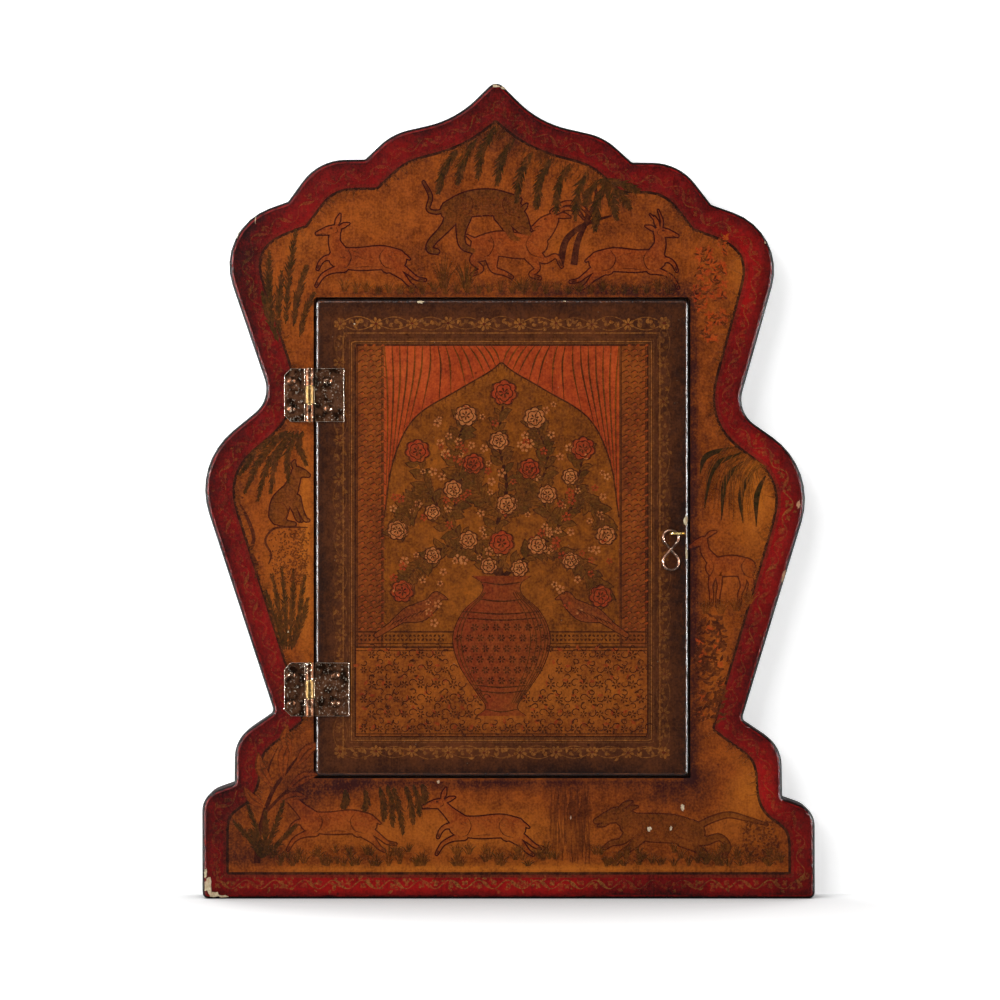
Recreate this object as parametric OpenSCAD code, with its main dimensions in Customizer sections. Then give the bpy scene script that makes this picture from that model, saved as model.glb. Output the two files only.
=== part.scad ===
// Persian lacquer mirror case: a shaped board with a hinged picture door over a looking glass.
// X runs to the right, Y to the back and Z up. The origin is the middle of the base.

/* [Case outline] */
// Width of the plinth at the base
plinth_w = 241; // [234:1:248]
// Height where the plinth's side and its shoulder would meet
plinth_z = 38; // [36:0.5:40]
// Width of the notches above the plinth
notch_w = 215.5; // [210:0.5:220]
// Height of the notches above the plinth
notch_z = 42.5; // [41:0.5:43.5]
// Width of the step above the plinth
step_w = 215; // [209:1:220]
// Height where the step's side and its shoulder would meet
step_z = 61.5; // [58:0.5:64]
// Width at the lower waist
low_waist_w = 184; // [180:1:190]
// Height of the lower waist
low_waist_z = 72; // [70:0.5:75]
// Width where the belly's two flanks would meet
belly_w = 246; // [238:1:250]
// Height where the belly's two flanks would meet
belly_z = 170; // [166:1:174]
// Width at the upper waist
high_waist_w = 183; // [179:1:190]
// Height of the upper waist
high_waist_z = 194; // [190:1:198]
// Width where the shoulder's two flanks would meet
shoulder_w = 226; // [219:1:230]
// Height where the shoulder's two flanks would meet
shoulder_z = 263; // [258:1:265]
// Width between the lower cusps of the crest
low_cusp_w = 166.5; // [160:0.5:170]
// Height of the lower cusps
low_cusp_z = 273.6; // [271:0.2:276]
// Width where the flanks of the crest's lower lobe would meet
low_lobe_w = 142; // [138:1:147]
// Height where the flanks of the crest's lower lobe would meet
low_lobe_z = 290; // [288:0.2:290]
// Width between the upper cusps of the crest
high_cusp_w = 105; // [102:1:109]
// Height of the upper cusps
high_cusp_z = 290.2; // [290.2:0.2:292]
// Width where the flanks of the crest's upper lobe would meet
high_lobe_w = 83.5; // [80:0.5:88]
// Height where the flanks of the crest's upper lobe would meet
high_lobe_z = 300.2; // [298:0.2:301]
// Width where the crest turns up to the tip
tip_sweep_w = 33; // [30:1:36]
// Height where the crest turns up to the tip
tip_sweep_z = 306; // [305:0.5:307.5]
// Height where the flanks of the tip would meet
tip_z = 322.2; // [319:0.2:325]
// Distance of the hand-cut base's middle to the right of the door's
base_shift = 2.6; // [0:0.1:4]
// Distance of the hand-cut tip's middle to the left of the door's
tip_shift = 2.3; // [0:0.1:3]
// Height that the plinth's shoulder is hand cut above its mean on the left, and below on the right
plinth_drop = 2.9; // [0:0.1:3.2]
// The same for the step and the lower waist
step_drop = 1.5; // [0:0.1:2]
// The same for the belly
belly_drop = 1; // [0:0.1:2]
// The same for the upper waist
high_waist_drop = 2.5; // [0:0.1:3]
// The same for the shoulder and the crest
crest_drop = 0.6; // [0:0.1:1]
// Thickness of the shaped board
board_t = 18; // [17:0.5:22]
// Rounding of the board's front edge
front_edge_r = 1.6; // [1:0.1:1.8]
// Rounding of the board's back edge
back_edge_r = 1; // [0.5:0.1:1.5]

/* [Outline radii] */
// Bottom corners of the plinth
foot_r = 2.5; // [2.2:0.1:4]
// Shoulder of the plinth
plinth_r = 9; // [6:0.5:10]
// Notches between lobes
notch_r = 1.6; // [1:0.1:2.5]
// Shoulder of the step
step_r = 14; // [10:0.5:16]
// Lower waist
low_waist_r = 2.5; // [2:0.5:5]
// Belly
belly_r = 30; // [22:1:32]
// Upper waist
high_waist_r = 12; // [8:1:14]
// Shoulder
shoulder_r = 24; // [18:1:25]
// Crest's lower lobe
low_lobe_r = 21; // [14:0.5:24]
// Crest's upper lobe
high_lobe_r = 24; // [12:1:30]
// Sweep up to the tip
tip_sweep_r = 40; // [25:1:44]
// Tip
tip_r = 3.9; // [2.5:0.1:4.5]

/* [Door] */
// Width of the door
door_w = 146.5; // [140:0.5:150]
// Height of the door
door_h = 187.5; // [180:0.5:190]
// Thickness of the door
door_t = 7; // [6:0.5:7.5]
// Height of the door's lower edge above the base
door_z = 48.2; // [47:0.1:52]
// Distance that the door's face stands in front of the board
door_proud = 1; // [0.8:0.1:1.5]
// Gap between the door and its opening
door_gap = 0.8; // [0.5:0.1:1.2]
// Rounding of the door's corners
door_corner_r = 2; // [1.8:0.1:4]
// Rounding of the door's front edge
door_edge_r = 1.3; // [0.8:0.1:1.5]
// Rounding of the door's back edge
door_back_r = 0.6; // [0.4:0.1:1]

/* [Mirror] */
// Width of the slips that frame the glass and stop the door
slip_w = 5; // [4:0.5:7]
// Thickness of the slips
slip_t = 3; // [2:0.5:3]
// Clearance between the closed door and the slips
stop_gap = 0.3; // [0.2:0.05:0.5]
// Thickness of the glass
glass_t = 3; // [2:0.5:3.5]
// Clearance round the glass, its card and the back panel
inset_gap = 0.4; // [0.2:0.1:0.8]
// Thickness of the card behind the glass
card_t = 0.8; // [0.4:0.1:1]
// Thickness of the back panel
panel_t = 3; // [2:0.5:3.5]
// Radius of the pins that hold the back panel
panel_pin_r = 0.6; // [0.5:0.05:0.7]
// Length of each pin
panel_pin_l = 11; // [9:0.5:13]
// Part of each pin's length that is in the board
panel_pin_in = 5.5; // [5:0.5:6]
// Distance from the opening's corners to the nearest pins
panel_pin_end = 28; // [20:1:40]

/* [Hinges] */
// Height of each hinge
hinge_h = 21; // [18:0.5:24]
// Height of the lower hinge's middle above the base
low_hinge_z = 82.4; // [75:0.1:95]
// Height of the upper hinge's middle above the base
high_hinge_z = 198; // [185:0.5:210]
// Thickness of the leaves
leaf_t = 1; // [0.8:0.05:1]
// Width of a frame leaf from the hinge's axis
frame_leaf_w = 10; // [9:0.5:12]
// Cut across each outer corner of a frame leaf
leaf_clip = 2.6; // [1:0.1:4]
// Width of the lower door leaf from the hinge's axis
low_door_leaf_w = 15.5; // [14:0.5:18]
// Width of the upper door leaf from the hinge's axis
high_door_leaf_w = 13.5; // [12:0.5:16]
// Radius of the knuckles
knuckle_r = 1.9; // [1.7:0.1:2]
// Distance from the hinge's axis to the door's edge
axis_to_door = 2.3; // [2.2:0.1:3]
// Clearance beside, under and between the knuckles
knuckle_gap = 0.2; // [0.15:0.05:0.3]
// Radius of the hinge pin
pin_r = 0.9; // [0.7:0.05:1]
// Height of the domed end of the hinge pin
pin_dome = 0.4; // [0.3:0.1:0.8]
// Radial clearance of the pin in the door leaf's knuckle
pin_running_gap = 0.05; // [0.02:0.01:0.1]
// Distance from the hinge's axis to the frame leaf's nails
frame_nail_x = 7.2; // [6.5:0.1:7.6]
// Distance from the hinge's axis to the lower door leaf's nails
low_door_nail_x = 10.2; // [8:0.1:12]
// Distance from the hinge's axis to the upper door leaf's nails
high_door_nail_x = 7.2; // [6.5:0.1:9]
// Height between the two nails of a leaf
nail_pitch = 11; // [9:0.5:13]
// Radius of a nail's head
nail_head_r = 1.9; // [1.5:0.1:2.2]
// Height of a nail's domed head
nail_head_h = 1; // [0.6:0.1:1]
// Radius of a nail's shank
nail_r = 0.6; // [0.4:0.05:0.8]
// Length of a nail under its head
nail_l = 6; // [4:0.5:6.5]

/* [Pull] */
// Radius of the staple's wire
staple_r = 0.55; // [0.4:0.05:0.6]
// Distance between the staple's legs
staple_span = 5.2; // [5:0.1:6]
// Distance from the door's free edge to the outer leg
staple_edge = 1.8; // [1.7:0.1:3]
// Depth of the legs in the door
staple_depth = 5; // [3:0.5:5.5]
// Inside radius of the staple's bends
staple_bend_r = 0.6; // [0.4:0.1:1]
// Height of the staple above the base
staple_z = 143.7; // [120:0.1:160]
// Radius of the link's wire
link_r = 0.5; // [0.4:0.05:0.55]
// Radius of the link's upper ring, at the middle of its wire
link_ring_r = 3; // [2.6:0.1:3.2]
// Radius of the link's lower loop, at the middle of its wire
link_loop_r = 3.2; // [2.8:0.1:3.4]
// Distance between the middles of the ring and the loop
link_pitch = 9.4; // [8.8:0.1:10.5]
// Gap between the two strands where they cross
link_cross_gap = 0.2; // [0.1:0.05:0.4]
// Clearance between the link and the door, and between the link and the staple
link_gap = 0.2; // [0.15:0.05:0.4]

/* [Hidden] */
// Facets of each rounded corner of an outline
arc_facets = 8;
// Facets across a rounded front edge
edge_facets = 4;
// Facets across a rounded back edge
back_facets = 2;
// Sides of the link's wire
wire_sides = 8;
// Facets of the link's ring, and of its loop
link_facets = 24;
// Clearance of driven nails, pins and legs in their holes
drive_gap = 0.02;
// Reach of a cut past the face it opens
over = 1;
$fn = 48;

front_y = -board_t / 2;
back_y = board_t / 2;
door_face_y = front_y - door_proud;
door_back_y = door_face_y + door_t;
slip_y = door_back_y + stop_gap;
glass_y = slip_y + slip_t;
card_y = glass_y + glass_t;
panel_y = card_y + card_t;
panel_pin_y = panel_y + panel_t + panel_pin_r + drive_gap;

opening_w = door_w + 2 * door_gap;
opening_h = door_h + 2 * door_gap;
opening_z = door_z - door_gap;

axis_x = -door_w / 2 - axis_to_door;
axis_y = front_y - knuckle_r - knuckle_gap;
// Height of one of a hinge's three knuckles
knuckle_h = (hinge_h - 2 * knuckle_gap) / 3;
// Distance from the axis at which a leaf clears the other leaf's knuckles
knuckle_clear = knuckle_r + knuckle_gap;

outer_leg_x = door_w / 2 - staple_edge;
inner_leg_x = outer_leg_x - staple_span;
// Distance of each strand of the link from its middle plane where they cross
link_lift = link_r + link_cross_gap / 2;
link_y = door_face_y - link_gap - link_r - link_lift;
staple_y = link_y - link_lift - link_r - link_gap - staple_r;
// The ring hangs on the inner leg, with its middle below the leg
ring_z = staple_z - link_ring_r + link_r + staple_r + link_gap;

// Half of the board's outline, from the foot to the tip: [half width, height, radius, drop]
half_corners = [
    [plinth_w / 2, 0, foot_r, 0],
    [plinth_w / 2, plinth_z, plinth_r, plinth_drop],
    [notch_w / 2, notch_z, notch_r, plinth_drop],
    [step_w / 2, step_z, step_r, step_drop],
    [low_waist_w / 2, low_waist_z, low_waist_r, step_drop],
    [belly_w / 2, belly_z, belly_r, belly_drop],
    [high_waist_w / 2, high_waist_z, high_waist_r, high_waist_drop],
    [shoulder_w / 2, shoulder_z, shoulder_r, crest_drop],
    [low_cusp_w / 2, low_cusp_z, notch_r, crest_drop],
    [low_lobe_w / 2, low_lobe_z, low_lobe_r, crest_drop],
    [high_cusp_w / 2, high_cusp_z, notch_r, crest_drop],
    [high_lobe_w / 2, high_lobe_z, high_lobe_r, crest_drop],
    [tip_sweep_w / 2, tip_sweep_z, tip_sweep_r, crest_drop]
];
// The board's middle line bends from the base's middle to the tip's
function middle_x(z) = base_shift - (base_shift + tip_shift) * pow(z / tip_z, 2);
// Corners of one side, where s is 1 on the right and -1 on the left, as [x, z, radius]
function side_corners(s) = [for (c = half_corners) let (z = c.y - s * c[3])
    [s * c.x + middle_x(z), z, c.z]];
function reversed(list) = [for (i = [len(list) - 1:-1:0]) list[i]];
case_corners = concat(side_corners(1), [[middle_x(tip_z), tip_z, tip_r]], reversed(side_corners(-1)));

door_corners = [for (c = [[1, 0], [1, 1], [-1, 1], [-1, 0]])
    [c.x * door_w / 2, door_z + c.y * door_h, door_corner_r]];

function unit(v) = v / norm(v);
function turned_left(v) = [-v.y, v.x];
function flat(c) = [c.x, c.y];
function wrap(list, i) = list[(i + len(list)) % len(list)];

// Arc of radius r that rounds the corner b between a and c
function corner_arc(a, b, c, r) =
    let (
        u = unit(a - b),
        v = unit(c - b),
        half = acos(u * v) / 2,
        centre = b + unit(u + v) * r / sin(half),
        spoke = b + u * r / tan(half) - centre,
        turn = (180 - 2 * half) * sign(-u.x * v.y + u.y * v.x)
    )
    [for (i = [0:arc_facets]) let (t = turn * i / arc_facets)
        centre + [spoke.x * cos(t) - spoke.y * sin(t), spoke.x * sin(t) + spoke.y * cos(t)]];

// Closed outline with every corner rounded by its own radius
function rounded_outline(corners) = [for (i = [0:len(corners) - 1])
    each corner_arc(flat(wrap(corners, i - 1)), flat(corners[i]), flat(wrap(corners, i + 1)), corners[i].z)];

// Outline moved inwards by d, for an outline that runs anticlockwise
function inset(points, d) = [for (i = [0:len(points) - 1])
    let (
        m = turned_left(unit(points[i] - wrap(points, i - 1))),
        n = turned_left(unit(wrap(points, i + 1) - points[i]))
    )
    points[i] + d * (m + n) / (1 + m * n)];

// Triangles that fill an outline of a given count of points, which climbs its right side from the
// base and comes down its left side: each rung joins a point to the one across from it
function rungs(count) = [for (i = [0:ceil(count / 2) - 2]) let (a = i + 1, b = count - 2 - i, c = count - 1 - i)
    each a == b ? [[i, a, c]] : [[i, a, c], [a, b, c]]];

// Slab between two depths whose front and back edges are rounded
module rounded_slab(outline, y_front, y_back, r_front, r_back) {
    front = [for (i = [0:edge_facets]) let (t = 90 * i / edge_facets)
        [y_front + r_front * (1 - sin(t)), r_front * (1 - cos(t))]];
    back = [for (i = [0:back_facets]) let (t = 90 * i / back_facets)
        [y_back - r_back * (1 - sin(t)), r_back * (1 - cos(t))]];
    loops = concat([for (i = [edge_facets:-1:0]) front[i]], back);
    count = len(outline);
    last = len(loops) - 1;
    points = [for (l = loops) each [for (p = inset(outline, l.y)) [p.x, l.x, p.y]]];
    sides = [for (k = [0:last - 1], i = [0:count - 1]) let (j = (i + 1) % count)
        each [
            [k * count + i, k * count + j, (k + 1) * count + j],
            [k * count + i, (k + 1) * count + j, (k + 1) * count + i]
        ]];
    front_cap = [for (t = rungs(count)) [t.z, t.y, t.x]];
    back_cap = [for (t = rungs(count)) t + last * count * [1, 1, 1]];
    polyhedron(points, concat(front_cap, sides, back_cap));
}

// Box of a given width and height that stands at depth y and height z
module upright_box(w, depth, h, y, z) {
    translate([-w / 2, y, z])
        cube([w, depth, h]);
}

// Plate of a given outline in X and Z, from depth y towards the back
module upright_plate(outline, y, depth) {
    translate([0, y + depth, 0])
        rotate([90, 0, 0])
            linear_extrude(depth)
                polygon(outline);
}

// Cylinder along Y from depth y towards the back
module rod_y(x, y, z, r, l) {
    translate([x, y, z])
        rotate([-90, 0, 0])
            cylinder(r = r, h = l);
}

// Copies of the children at each pin of the back panel, with Z pointing out of the wall's wood
module at_panel_pins() {
    side_x = opening_w / 2;
    mid_z = opening_z + opening_h / 2;
    top_x = side_x - panel_pin_end;
    side_z = opening_h / 2 - panel_pin_end;
    for (x = [-top_x, top_x], s = [-1, 1])
        translate([x, panel_pin_y, mid_z + s * opening_h / 2])
            rotate([s > 0 ? 180 : 0, 0, 0])
                children();
    for (z = [-side_z, 0, side_z], s = [-1, 1])
        translate([s * side_x, panel_pin_y, mid_z + z])
            rotate([0, -90 * s, 0])
                children();
}

// Copies of the children at the two nails of a leaf, on the face at depth y
module at_nails(x, y, z) {
    for (s = [-1, 1])
        translate([x, y, z + s * nail_pitch / 2])
            rotate([-90, 0, 0])
                children();
}

// Nail with a domed head, whose head rests on Z = 0 and whose shank points along +Z
module nail() {
    dome_r = (pow(nail_head_r, 2) + pow(nail_head_h, 2)) / (2 * nail_head_h);
    cylinder(r = nail_r, h = nail_l);
    intersection() {
        translate([0, 0, dome_r - nail_head_h])
            sphere(r = dome_r);
        translate([0, 0, -nail_head_h])
            cylinder(r = nail_head_r, h = nail_head_h);
    }
}

// Holes that a leaf's nails are driven into
module nail_holes(x, y, z) {
    at_nails(x, y, z)
        translate([0, 0, -over])
            cylinder(r = nail_r + drive_gap, h = nail_l + over);
}

// One knuckle's barrel, number 0 at the bottom, with its bore left solid
module knuckle(z, number) {
    translate([axis_x, axis_y, z - hinge_h / 2 + number * (knuckle_h + knuckle_gap)])
        cylinder(r = knuckle_r, h = knuckle_h);
}

module pin_bore(z, r) {
    translate([axis_x, axis_y, z - hinge_h / 2 - over])
        cylinder(r = r, h = hinge_h + 2 * over);
}

// Leaf on the board, with the upper and lower knuckles
module frame_leaf(z) {
    low = z - hinge_h / 2;
    high = z + hinge_h / 2;
    left = axis_x - frame_leaf_w;
    notch_low = low + knuckle_h;
    notch_high = high - knuckle_h;
    plate = [
        [left, low + leaf_clip], [left + leaf_clip, low],
        [axis_x, low], [axis_x, notch_low],
        [axis_x - knuckle_clear, notch_low], [axis_x - knuckle_clear, notch_high],
        [axis_x, notch_high], [axis_x, high],
        [left + leaf_clip, high], [left, high - leaf_clip]
    ];
    difference() {
        union() {
            upright_plate(plate, front_y - leaf_t, leaf_t);
            // Webs that carry the barrels up from the plate
            for (b = [low, notch_high])
                translate([axis_x - knuckle_r, axis_y, b])
                    cube([knuckle_r, front_y - axis_y, knuckle_h]);
            knuckle(z, 0);
            knuckle(z, 2);
        }
        pin_bore(z, pin_r + drive_gap);
        nail_holes(axis_x - frame_nail_x, front_y - leaf_t, z);
    }
}

// Leaf on the door, with the middle knuckle
module door_leaf(z, leaf_w, nail_x) {
    low = z - hinge_h / 2;
    high = z + hinge_h / 2;
    right = axis_x + leaf_w;
    tab_low = low + knuckle_h + knuckle_gap;
    tab_high = high - knuckle_h - knuckle_gap;
    plate = [
        [axis_x + axis_to_door, low], [right, low], [right, high], [axis_x + axis_to_door, high],
        [axis_x + axis_to_door, tab_high], [axis_x, tab_high],
        [axis_x, tab_low], [axis_x + axis_to_door, tab_low]
    ];
    difference() {
        union() {
            upright_plate(plate, door_face_y - leaf_t, leaf_t);
            knuckle(z, 1);
        }
        pin_bore(z, pin_r + pin_running_gap);
        nail_holes(axis_x + nail_x, door_face_y - leaf_t, z);
    }
}

// Pin with a domed end at each side of the knuckles
module hinge_pin(z) {
    dome_r = (pow(pin_r, 2) + pow(pin_dome, 2)) / (2 * pin_dome);
    profile = concat(
        [[0, -hinge_h / 2 - pin_dome]],
        [for (t = [0.25:0.25:1])
            [pin_r * t, -hinge_h / 2 + dome_r - pin_dome - sqrt(pow(dome_r, 2) - pow(pin_r * t, 2))]],
        [for (t = [1:-0.25:0.25])
            [pin_r * t, hinge_h / 2 - dome_r + pin_dome + sqrt(pow(dome_r, 2) - pow(pin_r * t, 2))]],
        [[0, hinge_h / 2 + pin_dome]]
    );
    translate([axis_x, axis_y, z])
        rotate_extrude()
            polygon(profile);
}

module nails(x, y, z) {
    at_nails(x, y, z)
        nail();
}

// Strip of the glass frame along an edge of a given length, mitred at both ends
module slip(l) {
    upright_plate([[-l / 2, 0], [l / 2, 0], [l / 2 - slip_w, slip_w], [slip_w - l / 2, slip_w]], slip_y, slip_t);
}

module face_board() {
    color("#A5561F") difference() {
        rounded_slab(rounded_outline(case_corners), front_y, back_y, front_edge_r, back_edge_r);
        upright_box(opening_w, board_t + 2 * over, opening_h, front_y - over, opening_z);
        for (z = [low_hinge_z, high_hinge_z])
            nail_holes(axis_x - frame_nail_x, front_y - leaf_t, z);
        at_panel_pins()
            translate([0, 0, -panel_pin_in])
                cylinder(r = panel_pin_r + drive_gap, h = panel_pin_in + over);
    }
}

module slip_bottom() {
    color("#4A1518") translate([0, 0, opening_z])
        slip(opening_w);
}

module slip_top() {
    color("#4A1518") translate([0, 0, opening_z + opening_h])
        rotate([0, 180, 0])
            slip(opening_w);
}

module slip_left() {
    color("#4A1518") translate([-opening_w / 2, 0, opening_z + opening_h / 2])
        rotate([0, 90, 0])
            slip(opening_h);
}

module slip_right() {
    color("#4A1518") translate([opening_w / 2, 0, opening_z + opening_h / 2])
        rotate([0, -90, 0])
            slip(opening_h);
}

// Sheet that fills the opening behind the slips
module inset_sheet(y, depth) {
    upright_box(opening_w - 2 * inset_gap, depth, opening_h - 2 * inset_gap, y, opening_z + inset_gap);
}

module mirror_glass() {
    color("#C9D2D6") inset_sheet(glass_y, glass_t);
}

module mirror_card() {
    color("#8A7350") inset_sheet(card_y, card_t);
}

module back_panel() {
    color("#6B4A2E") inset_sheet(panel_y, panel_t);
}

module back_panel_pins() {
    color("#4B4640") at_panel_pins()
        translate([0, 0, -panel_pin_in])
            cylinder(r = panel_pin_r, h = panel_pin_l);
}

module door_panel() {
    color("#4A2C1C") difference() {
        rounded_slab(rounded_outline(door_corners), door_face_y, door_back_y, door_edge_r, door_back_r);
        nail_holes(axis_x + low_door_nail_x, door_face_y - leaf_t, low_hinge_z);
        nail_holes(axis_x + high_door_nail_x, door_face_y - leaf_t, high_hinge_z);
        for (x = [inner_leg_x, outer_leg_x])
            rod_y(x, door_face_y - over, staple_z, staple_r + drive_gap, staple_depth + over);
    }
}

module upper_hinge_frame_leaf() {
    color("#4B4336") frame_leaf(high_hinge_z);
}

module lower_hinge_frame_leaf() {
    color("#4B4336") frame_leaf(low_hinge_z);
}

module upper_hinge_door_leaf() {
    color("#5A4B30") door_leaf(high_hinge_z, high_door_leaf_w, high_door_nail_x);
}

module lower_hinge_door_leaf() {
    color("#5A4B30") door_leaf(low_hinge_z, low_door_leaf_w, low_door_nail_x);
}

module upper_hinge_pin() {
    color("#6E5A34") hinge_pin(high_hinge_z);
}

module lower_hinge_pin() {
    color("#6E5A34") hinge_pin(low_hinge_z);
}

module upper_hinge_frame_nails() {
    color("#3A342C") nails(axis_x - frame_nail_x, front_y - leaf_t, high_hinge_z);
}

module lower_hinge_frame_nails() {
    color("#3A342C") nails(axis_x - frame_nail_x, front_y - leaf_t, low_hinge_z);
}

module upper_hinge_door_nails() {
    color("#3A342C") nails(axis_x + high_door_nail_x, door_face_y - leaf_t, high_hinge_z);
}

module lower_hinge_door_nails() {
    color("#3A342C") nails(axis_x + low_door_nail_x, door_face_y - leaf_t, low_hinge_z);
}

// Wire staple: two legs in the door and a crown in front of the link
module pull_staple() {
    bend = staple_bend_r + staple_r;
    leg_l = door_face_y + staple_depth - staple_y - bend;
    color("#A8813C") {
        for (x = [inner_leg_x, outer_leg_x])
            rod_y(x, staple_y + bend, staple_z, staple_r, leg_l);
        translate([inner_leg_x + bend, staple_y, staple_z])
            rotate([0, 90, 0])
                cylinder(r = staple_r, h = staple_span - 2 * bend);
        translate([inner_leg_x + bend, staple_y + bend, staple_z])
            rotate([0, 0, 180])
                rotate_extrude(angle = 90)
                    translate([bend, 0])
                        circle(r = staple_r);
        translate([outer_leg_x - bend, staple_y + bend, staple_z])
            rotate([0, 0, 270])
                rotate_extrude(angle = 90)
                    translate([bend, 0])
                        circle(r = staple_r);
    }
}

// Angle of the crossing strands' tangent points, from the line between ring and loop
link_angle = acos((link_ring_r + link_loop_r) / link_pitch);
// Middle line of the link: a ring and a loop joined by two straight strands that cross
link_path = concat(
    [for (i = [0:link_facets]) let (u = i / link_facets, t = -90 + link_angle + (360 - 2 * link_angle) * u)
        [link_ring_r * cos(t), -link_lift * cos(180 * u), link_ring_r * sin(t)]],
    [for (i = [0:link_facets]) let (u = i / link_facets, t = 90 - link_angle - (360 - 2 * link_angle) * u)
        [link_loop_r * cos(t), link_lift * cos(180 * u), link_loop_r * sin(t) - link_pitch]]
);

// Closed tube of radius r along a path
module closed_tube(path, r) {
    count = len(path);
    points = [for (i = [0:count - 1])
        let (
            along = unit(wrap(path, i + 1) - wrap(path, i - 1)),
            side = unit(cross(along, [0, 1, 0])),
            up = cross(side, along)
        )
        each [for (k = [0:wire_sides - 1]) let (t = 360 * k / wire_sides)
            path[i] + r * (side * cos(t) + up * sin(t))]];
    faces = [for (i = [0:count - 1], k = [0:wire_sides - 1])
        let (
            a = i * wire_sides,
            b = ((i + 1) % count) * wire_sides,
            j = (k + 1) % wire_sides
        )
        each [[a + k, a + j, b + j], [a + k, b + j, b + k]]];
    polyhedron(points, faces);
}

module pull_link() {
    color("#8E7038") translate([inner_leg_x, link_y, ring_z])
        closed_tube(link_path, link_r);
}

face_board();
slip_top();
slip_bottom();
slip_left();
slip_right();
mirror_glass();
mirror_card();
back_panel();
back_panel_pins();
upper_hinge_frame_leaf();
upper_hinge_frame_nails();
upper_hinge_pin();
lower_hinge_frame_leaf();
lower_hinge_frame_nails();
lower_hinge_pin();
door_panel();
upper_hinge_door_leaf();
upper_hinge_door_nails();
lower_hinge_door_leaf();
lower_hinge_door_nails();
pull_staple();
pull_link();
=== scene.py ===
# %% [markdown]
# # A Persian lacquer mirror case
# A flat wooden case with a cusped outline, painted and varnished, holds a looking glass behind a small
# hinged door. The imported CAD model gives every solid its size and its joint. This lesson gives the case its
# finish: the painted front, the aged varnish, the bronze hinges and the old glass. All sizes are in the CAD
# frame.

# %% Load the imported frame
import math
import random

import bpy
import numpy as np
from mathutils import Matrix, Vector, geometry
from mathutils.bvhtree import BVHTree


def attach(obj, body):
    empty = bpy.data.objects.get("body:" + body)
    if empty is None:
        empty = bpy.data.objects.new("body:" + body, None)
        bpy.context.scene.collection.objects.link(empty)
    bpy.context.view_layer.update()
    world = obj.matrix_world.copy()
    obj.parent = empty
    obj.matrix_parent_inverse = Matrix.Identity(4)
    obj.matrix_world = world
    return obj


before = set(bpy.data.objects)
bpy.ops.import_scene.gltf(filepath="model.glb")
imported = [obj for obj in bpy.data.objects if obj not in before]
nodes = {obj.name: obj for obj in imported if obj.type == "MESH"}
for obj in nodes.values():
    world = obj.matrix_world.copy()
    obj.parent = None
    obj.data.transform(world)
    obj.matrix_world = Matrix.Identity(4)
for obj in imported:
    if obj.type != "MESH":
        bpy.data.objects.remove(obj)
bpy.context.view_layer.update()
scene = bpy.context.scene
MM = 0.001
dice = random.Random(11)

# %% [markdown]
# ## Camera
# The photograph looks straight at the front, from far enough away that the sides of the case don't show. A
# long lens at about a metre and a half does the same, and puts the front face at 0.393 mm to the pixel.

# %% Make the camera
LENS = 135.0
SENSOR = 36.0
VIEW_WIDTH = 393.1
VIEW_MIDDLE = (-0.8, 156.8)
FRONT = -9.0
distance = VIEW_WIDTH * LENS / SENSOR
camera_data = bpy.data.cameras.new("camera")
camera_data.lens = LENS
camera_data.sensor_width = SENSOR
camera_data.clip_start = 0.01
camera = bpy.data.objects.new("camera", camera_data)
camera.location = (VIEW_MIDDLE[0] * MM, (FRONT - distance) * MM, VIEW_MIDDLE[1] * MM)
camera.rotation_euler = (math.pi / 2, 0, 0)
scene.collection.objects.link(camera)
scene.camera = camera
scene.view_settings.view_transform = "Standard"
print("camera stands", round(distance), "mm in front")

# %% [markdown]
# ## Nodes and colours
# A finish is a small graph of shader nodes. One function adds a node, sets its properties and feeds its
# inputs from a value or from another node's socket, so each finish reads as a list of steps. Colours are
# written as on a screen and turned to the linear values that shaders work in.


# %% Helpers for finishes
def srgb(code):
    """A hex colour as linear RGBA."""
    parts = [int(code[i:i + 2], 16) / 255 for i in (1, 3, 5)]
    return (*[c / 12.92 if c <= 0.04045 else ((c + 0.055) / 1.055) ** 2.4 for c in parts], 1.0)


def add(tree, kind, inputs=None, **settings):
    """Adds one node with its settings, then a value or a link for each named input."""
    made = tree.nodes.new(kind if kind.startswith("Node") else "ShaderNode" + kind)
    for key, value in settings.items():
        setattr(made, key, value)
    for key, value in (inputs or {}).items():
        if isinstance(value, bpy.types.NodeSocket):
            tree.links.new(value, made.inputs[key])
        else:
            made.inputs[key].default_value = value
    return made


def repeats(size_mm):
    """How often a pattern of that size repeats in a metre, which is the scale of a noise node."""
    return 1000 / size_mm


def new_material(name):
    """An empty node material and its tree."""
    made = bpy.data.materials.new(name)
    made.use_nodes = True
    made.node_tree.nodes.clear()
    return made, made.node_tree


# %% [markdown]
# ## Stage
# The case stands on a pale floor with a white sheet close behind it, which catches the soft shadow to the
# right. The sheet is only there for rays that come from the front, so views from behind see the case's
# back. The room is white to the camera and dim in reflections, as if a dark cloth hung behind the camera:
# lacquer photographed in a white room would look grey. The floor is shaded where the case stands close, as
# under any heavy thing.

# %% Floor, sheet and room
STAGE_SIZE = 6.0
STAGE_LIFT = 0.62
SHEET_Y = 9.3
ROOM_LIGHT = 0.12
ROOM_IN_GLOSS = 0.3
CONTACT_REACH = 0.11
LIT_STAGE = (0.34, 1.0)


def background_rays(tree):
    """1 for camera and transmission rays, dim for glossy ones, 0 for light that falls on things."""
    path = add(tree, "LightPath").outputs
    bare = add(tree, "Math", {0: path["Is Camera Ray"], 1: path["Is Transmission Ray"]}, operation="MAXIMUM")
    gloss = add(tree, "Math", {0: path["Is Glossy Ray"], 1: ROOM_IN_GLOSS}, operation="MULTIPLY")
    return add(tree, "Math", {0: bare.outputs[0], 1: gloss.outputs[0]}, operation="MAXIMUM").outputs[0]


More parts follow.
